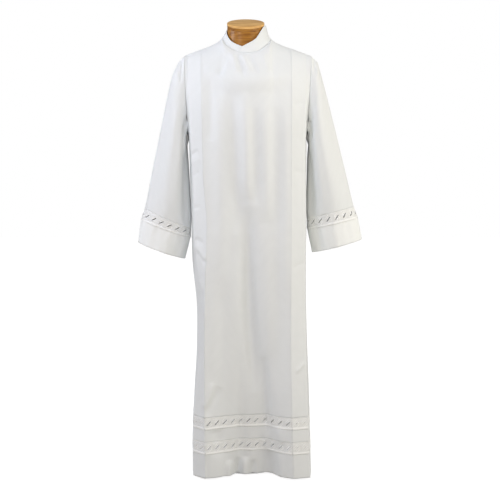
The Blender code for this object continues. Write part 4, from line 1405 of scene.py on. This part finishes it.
def add_lace(name, columns, is_open, patch_of, plain_of):
    """Net with a slit through each open cell, its satin bars beside it."""
    points, faces, uvs = [], [], []
    thread = Raised()
    run = 0.0
    steps = CELL_SIDE_STEPS
    for first, second in zip(columns, columns[1:]):
        start = len(points)
        if is_open(first, second):
            patch = patch_of(first, second)
            outer, inner = frame_ring(patch.width, patch.height), slit_ring()
            rings = [lerp(outer, inner, share) for share in CELL_LEVELS]
            flat = np.concatenate(rings)
            points.extend(patch.at(flat[:, 0], flat[:, 1]))
            count = len(outer)
            quads = [
                (low * count + step, low * count + (step + 1) % count,
                 (low + 1) * count + (step + 1) % count, (low + 1) * count + step)
                for low in range(len(rings) - 1)
                for step in range(count)
            ]
            satin_bars(thread, patch)
            run += patch.width
        else:
            grid, mirrored = plain_of(first, second)
            width = np.linalg.norm(grid[0, 1] - grid[0, 0])
            height = np.linalg.norm(grid[-1, 0] - grid[0, 0])
            flat = np.zeros((2 * (steps + 1), 2))
            flat[:, 1] = np.repeat(np.linspace(-height / 2, height / 2, steps + 1), 2)
            flat[1::2, 0] = width
            points.extend(grid.reshape(-1, 3))
            quads = [(2 * row, 2 * row + 1, 2 * row + 3, 2 * row + 2) for row in range(steps)]
            if mirrored:
                quads = [quad[::-1] for quad in quads]
            run += width
        for quad in quads:
            faces.append([start + corner for corner in quad])
            uvs.extend((flat[corner][0] + run, flat[corner][1]) for corner in quad)
    points, faces = merged(points, faces)
    replaced = [name.removesuffix("_net")]
    thicken(add_piece(name, points, faces, uvs, MATERIALS["net"], "lace", replaced), LACE_WALL)
    thread.build(name.replace("_net", "_satin"), "lace")


def lace_columns():
    """Each edge between the cells of a lace; pairs on one face are open."""
    shares = [step / CENTRE_CELLS for step in range(1, CENTRE_CELLS)]
    return half_columns(SIDE_CELLS, 1, 2, shares)


def add_body_lace(name, facing, top, bottom):
    mirrored = facing > 0

    def surface(key, z):
        return cloth_point(facing, key[..., 0], key[..., 1], key[..., 2], down_at(z))

    def is_open(first, second):
        nearest, farthest = sorted(abs(key[0] - MIDDLE) for key in (first, second))
        in_pleat = nearest >= 0.5 and farthest <= 1.5
        flat = first[1] == second[1] and first[2] == second[2] == 0
        return flat and not (first[1] == 0 and in_pleat)

    def patch_of(first, second):
        return Patch(surface, first, second, bottom, top, mirrored)

    def plain_of(first, second):
        heights = np.linspace(bottom, top, CELL_SIDE_STEPS + 1)[:, None]
        return surface(np.array([first, second], float)[None], heights), mirrored

    add_lace(name, lace_columns(), is_open, patch_of, plain_of)


def body_surface(facing, across, layer, z, lift):
    """Points at a height above the cloth's outer face, and the directions out of it."""
    across, z = paired(across, z)
    low, high = math.floor(across.min()), math.ceil(across.max())
    step, rise = ACROSS_STEP, FINE_STEP

    def at(a, b):
        inside = np.clip(a, low + FINE_STEP, high - FINE_STEP)
        return cloth_point(facing, inside, layer, 0.0, down_at(b))

    point = at(across, z)
    over = at(across + step, z) - at(across - step, z)
    up = at(across, z + rise) - at(across, z - rise)
    normal = unit(np.cross(over, up)) * -facing
    return point + normal * (CLOTH_WALL / 2 + lift), normal


def add_border(name, runs):
    """Scalloped border along the lower edge of a lace, from a grid of points for each run."""
    points, faces = [], []
    for grid in runs:
        start = sum(len(block) for block in points)
        quads, _ = grid_of(grid, False, False)
        points.append(grid.reshape(-1, 3))
        faces += [[start + corner for corner in quad] for quad in quads]
    made = add_piece(name, np.concatenate(points), faces, None, MATERIALS["satin"], "lace")
    thicken(made, BORDER_WALL)


def scallop(places):
    return SCALLOP_DEPTH * np.abs(np.sin(math.pi * places / SCALLOP_PITCH))


def add_trims(name, surfaces, way, top, bottom, down):
    """Cord along the top of a lace band, border along its foot, and the seams' stitches.

    Each surface gives the points and normals along the lace at a level and a lift. `down`
    is the sign with which levels run down the lace, and `way` the one that the grids face.
    """
    cord = Raised()
    borders, stitches = [], []
    share = np.linspace(0, 1, BORDER_LEVELS)[:, None]
    for surface in surfaces:
        path, normal = surface(top + down * CORD_DROP, 0.0)
        cord.add(path, normal, CORD_HALF_WIDTH, BAR_HEIGHT, taper=False)
        edge = -BORDER_DROP - scallop(running_length(path, 0))[None]
        grid, _ = surface(bottom - down * lerp(BORDER_HEIGHT, edge, share), BORDER_LIFT)
        borders.append(grid if way > 0 else grid[:, ::-1])
        above, below = STITCH_OFFSETS
        for level in (top - down * above, bottom + down * below):
            stitches.append(surface(level, 0.0))
    cord.build(name + "_cord", "lace")
    add_border(name + "_border", borders)
    add_stitches(name + "_stitches", stitches)


def add_body_trims(half, level, facing, top, bottom):
    surfaces = []
    for row in SHOWN_RUNS:
        shown = dict(zip(SHOWN_COLUMNS, row))
        across = np.linspace(shown["start"], shown["end"], shown["steps"])
        surfaces.append(partial(body_surface, facing, across, shown["layer"]))
    add_trims(f"hem_lace_{level}_{half}", surfaces, facing, top, bottom, -1)


# ---------------------------------------------------------------- sleeves


def sleeve_surface(side, angle, along, lift):
    """Points at a height above the sleeve's outer face, and the directions out of it."""
    along, angle = paired(along, angle)
    step = AROUND_STEP
    point = sleeve_point(side, along, angle)
    over = sleeve_point(side, along, angle + step) - sleeve_point(side, along, angle - step)
    down = sleeve_point(side, along + step, angle) - sleeve_point(side, along - step, angle)
    normal = unit(np.cross(over, down)) * side
    return point + normal * (CLOTH_WALL / 2 + lift), normal


def sleeve_grid(side, top, bottom, rows):
    grid = []
    for along in np.linspace(top, bottom, rows):
        angles = even_angles(side, along, 0, 2 * math.pi, SLEEVE_COLUMNS_ROUND)[:-1]
        grid.append(sleeve_point(side, along, angles))
    return np.array(grid)


def add_tube(name, side, top, bottom, rows):
    grid = sleeve_grid(side, top, bottom, rows)
    add_cloth(name, grid, True, side < 0)


def add_sleeve_lace(name, side, top, bottom, facing):
    middle = (top + bottom) / 2
    start = SLEEVE_LACE_CLEARANCE if facing < 0 else math.pi + SLEEVE_LACE_CLEARANCE
    end = start + math.pi - 2 * SLEEVE_LACE_CLEARANCE
    angles = even_angles(side, middle, start, end, SLEEVE_HALF_CELLS)

    def surface(key, along):
        return sleeve_point(side, along, key[..., 0])

    def patch_of(first, second):
        return Patch(surface, first, second, bottom, top, side > 0)

    columns = [(angle, 0.0, 0.0) for angle in angles]
    add_lace(name, columns, lambda first, second: True, patch_of, None)


# ---------------------------------------------------------------- collar


def collar_grid(columns, levels):
    up = np.linspace(0, 1, levels)[:, None]
    last = lerp(*COLLAR_OVER_END, up)
    degrees = lerp(COLLAR_UNDER_END, last, np.linspace(0, 1, columns)[None])
    return collar_point(degrees, np.broadcast_to(up, degrees.shape))


# ---------------------------------------------------------------- dress form


def superellipse(half_width, half_depth, centre_y, z, power=2):
    angle = 2 * np.pi * np.arange(ROUND_SIDES) / ROUND_SIDES
    c, s = np.cos(angle), np.sin(angle)
    x = half_width * np.sign(c) * np.abs(c) ** (2 / power)
    y = half_depth * np.sign(s) * np.abs(s) ** (2 / power)
    return place(x, centre_y + y, z)


def add_solid(name, rings, material, slot, replaced):
    """Closed solid through rings of points, with a flat face at each end."""
    count = len(rings[0])
    points = np.concatenate(rings)
    faces = []
    for level in range(len(rings) - 1):
        for step in range(count):
            low, after = level * count + step, level * count + (step + 1) % count
            faces.append((low, after, after + count, low + count))
    faces.append(tuple(range(count))[::-1])
    faces.append(tuple(range(len(points) - count, len(points))))
    made = add_piece(name, points, faces, None, MATERIALS[material], slot, replaced)
    made.data.set_sharp_from_angle(angle=SHARP_ANGLE)


def add_form():
    rings = []
    for z in np.unique(np.concatenate([np.linspace(*run) for run in TORSO_RUNS])):
        row = table_at(TORSO_COLUMNS, TORSO_SECTIONS, np.array(z))
        half_width, half_depth, centre_y = (row[name] for name in TORSO_COLUMNS[1:])
        rings.append(superellipse(half_width, half_depth, centre_y, z, TORSO_POWER))
    add_solid("form_torso_cover", rings, "jersey", "form_cover", ["form_torso"])


def cap_place(points):
    c, s = math.cos(CAP_TILT), math.sin(CAP_TILT)
    x, y, z = points[..., 0], points[..., 1], points[..., 2]
    return np.array(CAP_CENTRE) + place(x, y * c - z * s, y * s + z * c)


def add_neck_and_cap():
    base_z = TORSO_SECTIONS[-1][0] + SEAM_GAP
    bottom = superellipse(*NECK_BOTTOM_RADII, NECK_BLOCK_Y, base_z)
    bottom[:, 0] += CAP_CENTRE.x
    top = cap_place(superellipse(*NECK_TOP_RADII, 0, -CAP_THICKNESS - SEAM_GAP))
    rings = [lerp(bottom, top, share) for share in np.linspace(0, 1, NECK_RINGS)]
    add_solid("form_neck_block", rings, "wood", "wood", ["form_neck"])
    turns = np.linspace(0, math.pi / 2, CAP_ROUND_STEPS)
    levels = [
        (-CAP_THICKNESS, 2 * CAP_STEP), (CAP_STEP - CAP_THICKNESS, CAP_STEP),
        (-CAP_RIM - CAP_STEP, CAP_STEP), (-CAP_RIM, 0),
    ]
    for turn in turns[::-1]:
        levels.append((-CAP_ROUNDING * (1 - math.cos(turn)), CAP_ROUNDING * (1 - math.sin(turn))))
    rings = []
    for height, inset in levels:
        ring = superellipse(CAP_HALF_WIDTH - inset, CAP_HALF_DEPTH - inset, 0, height)
        rings.append(cap_place(ring))
    add_solid("form_cap_turned", rings, "wood", "wood", ["form_cap"])


def add_stand():
    rings = []
    edge = BASE_EDGE
    for z, inset in ((0, edge), (edge, 0), (BASE_THICKNESS - edge, 0), (BASE_THICKNESS, edge)):
        radius = BASE_RADIUS - inset
        rings.append(superellipse(radius, radius, 0, z))
    add_solid("stand_base_plate", rings, "steel", "metal", ["stand_base"])
    low, high = BASE_THICKNESS + SEAM_GAP, TORSO_SECTIONS[0][0] - SEAM_GAP
    rings = [superellipse(POLE_RADIUS, POLE_RADIUS, 0, z) for z in (low, high)]
    add_solid("stand_pole_tube", rings, "steel", "metal", ["stand_pole"])


# ---------------------------------------------------------------- assembly


def add_robe():
    for facing, half in ((-1, "front"), (1, "back")):
        add_body_panel(f"{half}_panel_cloth", facing)
        add_body_lace(f"hem_lace_upper_{half}_net", facing, *UPPER_LACE_Z)
        strip = (UPPER_LACE_Z[1], LOWER_LACE_Z[0])
        add_body_band(f"hem_strip_{half}_cloth", facing, *strip, STRIP_ROWS)
        add_body_lace(f"hem_lace_lower_{half}_net", facing, *LOWER_LACE_Z)
        add_body_band(f"hem_band_{half}_cloth", facing, LOWER_LACE_Z[1], HEM_Z, HEM_BAND_ROWS)
        add_body_trims(half, "upper", facing, *UPPER_LACE_Z)
        add_body_trims(half, "lower", facing, *LOWER_LACE_Z)
    for side, hand in ((-1, "right"), (1, "left")):
        rows = SLEEVE_SECTIONS[side]
        lace_top, lace_bottom, edge = rows[-3][0], rows[-2][0], rows[-1][0]
        add_tube(f"sleeve_{hand}_cloth", side, 0.0, lace_top, SLEEVE_ROWS)
        for half, facing in (("front", -1), ("back", 1)):
            add_sleeve_lace(f"sleeve_lace_{hand}_{half}_net", side, lace_top, lace_bottom, facing)
        add_tube(f"cuff_{hand}_cloth", side, lace_bottom, edge, CUFF_ROWS)
        angle = np.linspace(0, 2 * math.pi, SLEEVE_TRIM_STEPS)
        surfaces = [partial(sleeve_surface, side, angle)]
        add_trims(f"sleeve_lace_{hand}", surfaces, side, lace_top, lace_bottom, 1)
    add_cloth("collar_cloth", collar_grid(*COLLAR_STEPS), False, True, COLLAR_WALL)


def trims_of(name):
    """Pieces that go with a lace net: its satin, and its band's cord, border and stitches."""
    if not name.endswith("_net"):
        return []
    names = [name.replace("_net", "_satin")]
    if not name.startswith("sleeve"):
        names += [name.replace("_net", part) for part in ("_cord", "_border", "_stitches")]
    elif name.endswith("_front_net"):
        names += [name.replace("_front_net", part) for part in ("_cord", "_border", "_stitches")]
    return [bpy.data.objects[found] for found in names]


def declare_sheets():
    for row in SHEETS:
        sheet = dict(zip(SHEET_COLUMNS, row))
        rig.sheet(
            bpy.data.objects[sheet["piece"]],
            flat=(sheet["width"], sheet["length"]),
            area=sheet["area"],
            held=sheet["held"],
            rests_on=sheet["rests_on"],
            with_pieces=trims_of(sheet["piece"]),
        )


# ---------------------------------------------------------------- light and camera


def add_area(name, location, target, size, power, colour):
    light = bpy.data.lights.new(name, "AREA")
    light.shape = "DISK"
    light.size = size
    light.energy = power
    light.color = colour
    made = bpy.data.objects.new(name, light)
    made.location = location
    made.rotation_euler = (Vector(target) - Vector(location)).to_track_quat("-Z", "Y").to_euler()
    bpy.context.scene.collection.objects.link(made)


def add_studio():
    scene = bpy.context.scene
    scene.view_settings.view_transform = "Standard"
    world = bpy.data.worlds.new("studio")
    scene.world = world
    world.use_nodes = True
    tree = world.node_tree
    tree.nodes.clear()
    shades = []
    for colour, light in ((WORLD_COLOUR, WORLD_LIGHT), ((1, 1, 1), 1.0)):
        inputs = {"Color": (*colour, 1), "Strength": light}
        shades.append(add_node(tree, "ShaderNodeBackground", inputs).outputs[0])
    soft, white = shades
    seen = add_node(tree, "ShaderNodeLightPath", {}).outputs["Is Camera Ray"]
    mixed = add_node(tree, "ShaderNodeMixShader", {0: seen, 1: soft, 2: white})
    add_node(tree, "ShaderNodeOutputWorld", {"Surface": mixed.outputs[0]})
    for light in LIGHTS:
        add_area(*light)
    glow = bpy.data.lights.new("inner_glow", "POINT")
    glow.energy = INNER_GLOW_POWER
    glow.shadow_soft_size = INNER_GLOW_RADIUS
    glow.color = INNER_GLOW_COLOUR
    inside = bpy.data.objects.new("inner_glow", glow)
    inside.location = INNER_GLOW_PLACE
    scene.collection.objects.link(inside)
    mesh = bpy.data.meshes.new("studio_floor")
    corners = ((-1, -1), (1, -1), (1, 1), (-1, 1))
    points = [(x * FLOOR_REACH, y * FLOOR_REACH, 0) for x, y in corners]
    mesh.from_pydata(points, [], [(0, 1, 2, 3)])
    mesh.materials.append(floor_material())
    floor = bpy.data.objects.new("studio_floor", mesh)
    floor.visible_diffuse = False
    scene.collection.objects.link(floor)
    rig.stage(floor)


def add_camera():
    camera = bpy.data.cameras.new("camera")
    camera.lens = CAMERA_LENS
    camera.sensor_width = CAMERA_SENSOR
    made = bpy.data.objects.new("camera", camera)
    made.location = CAMERA_PLACE
    made.rotation_euler = (CAMERA_PITCH, 0, 0)
    bpy.context.scene.collection.objects.link(made)
    bpy.context.scene.camera = made


add_robe()
add_form()
add_neck_and_cap()
add_stand()
declare_sheets()
add_studio()
add_camera()

bpy.context.view_layer.update()
with open("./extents.json", "w") as size_file:
    json.dump({"cad": [list(c) for c in cad_bounds], "scene": [list(c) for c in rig.bounds()]}, size_file)
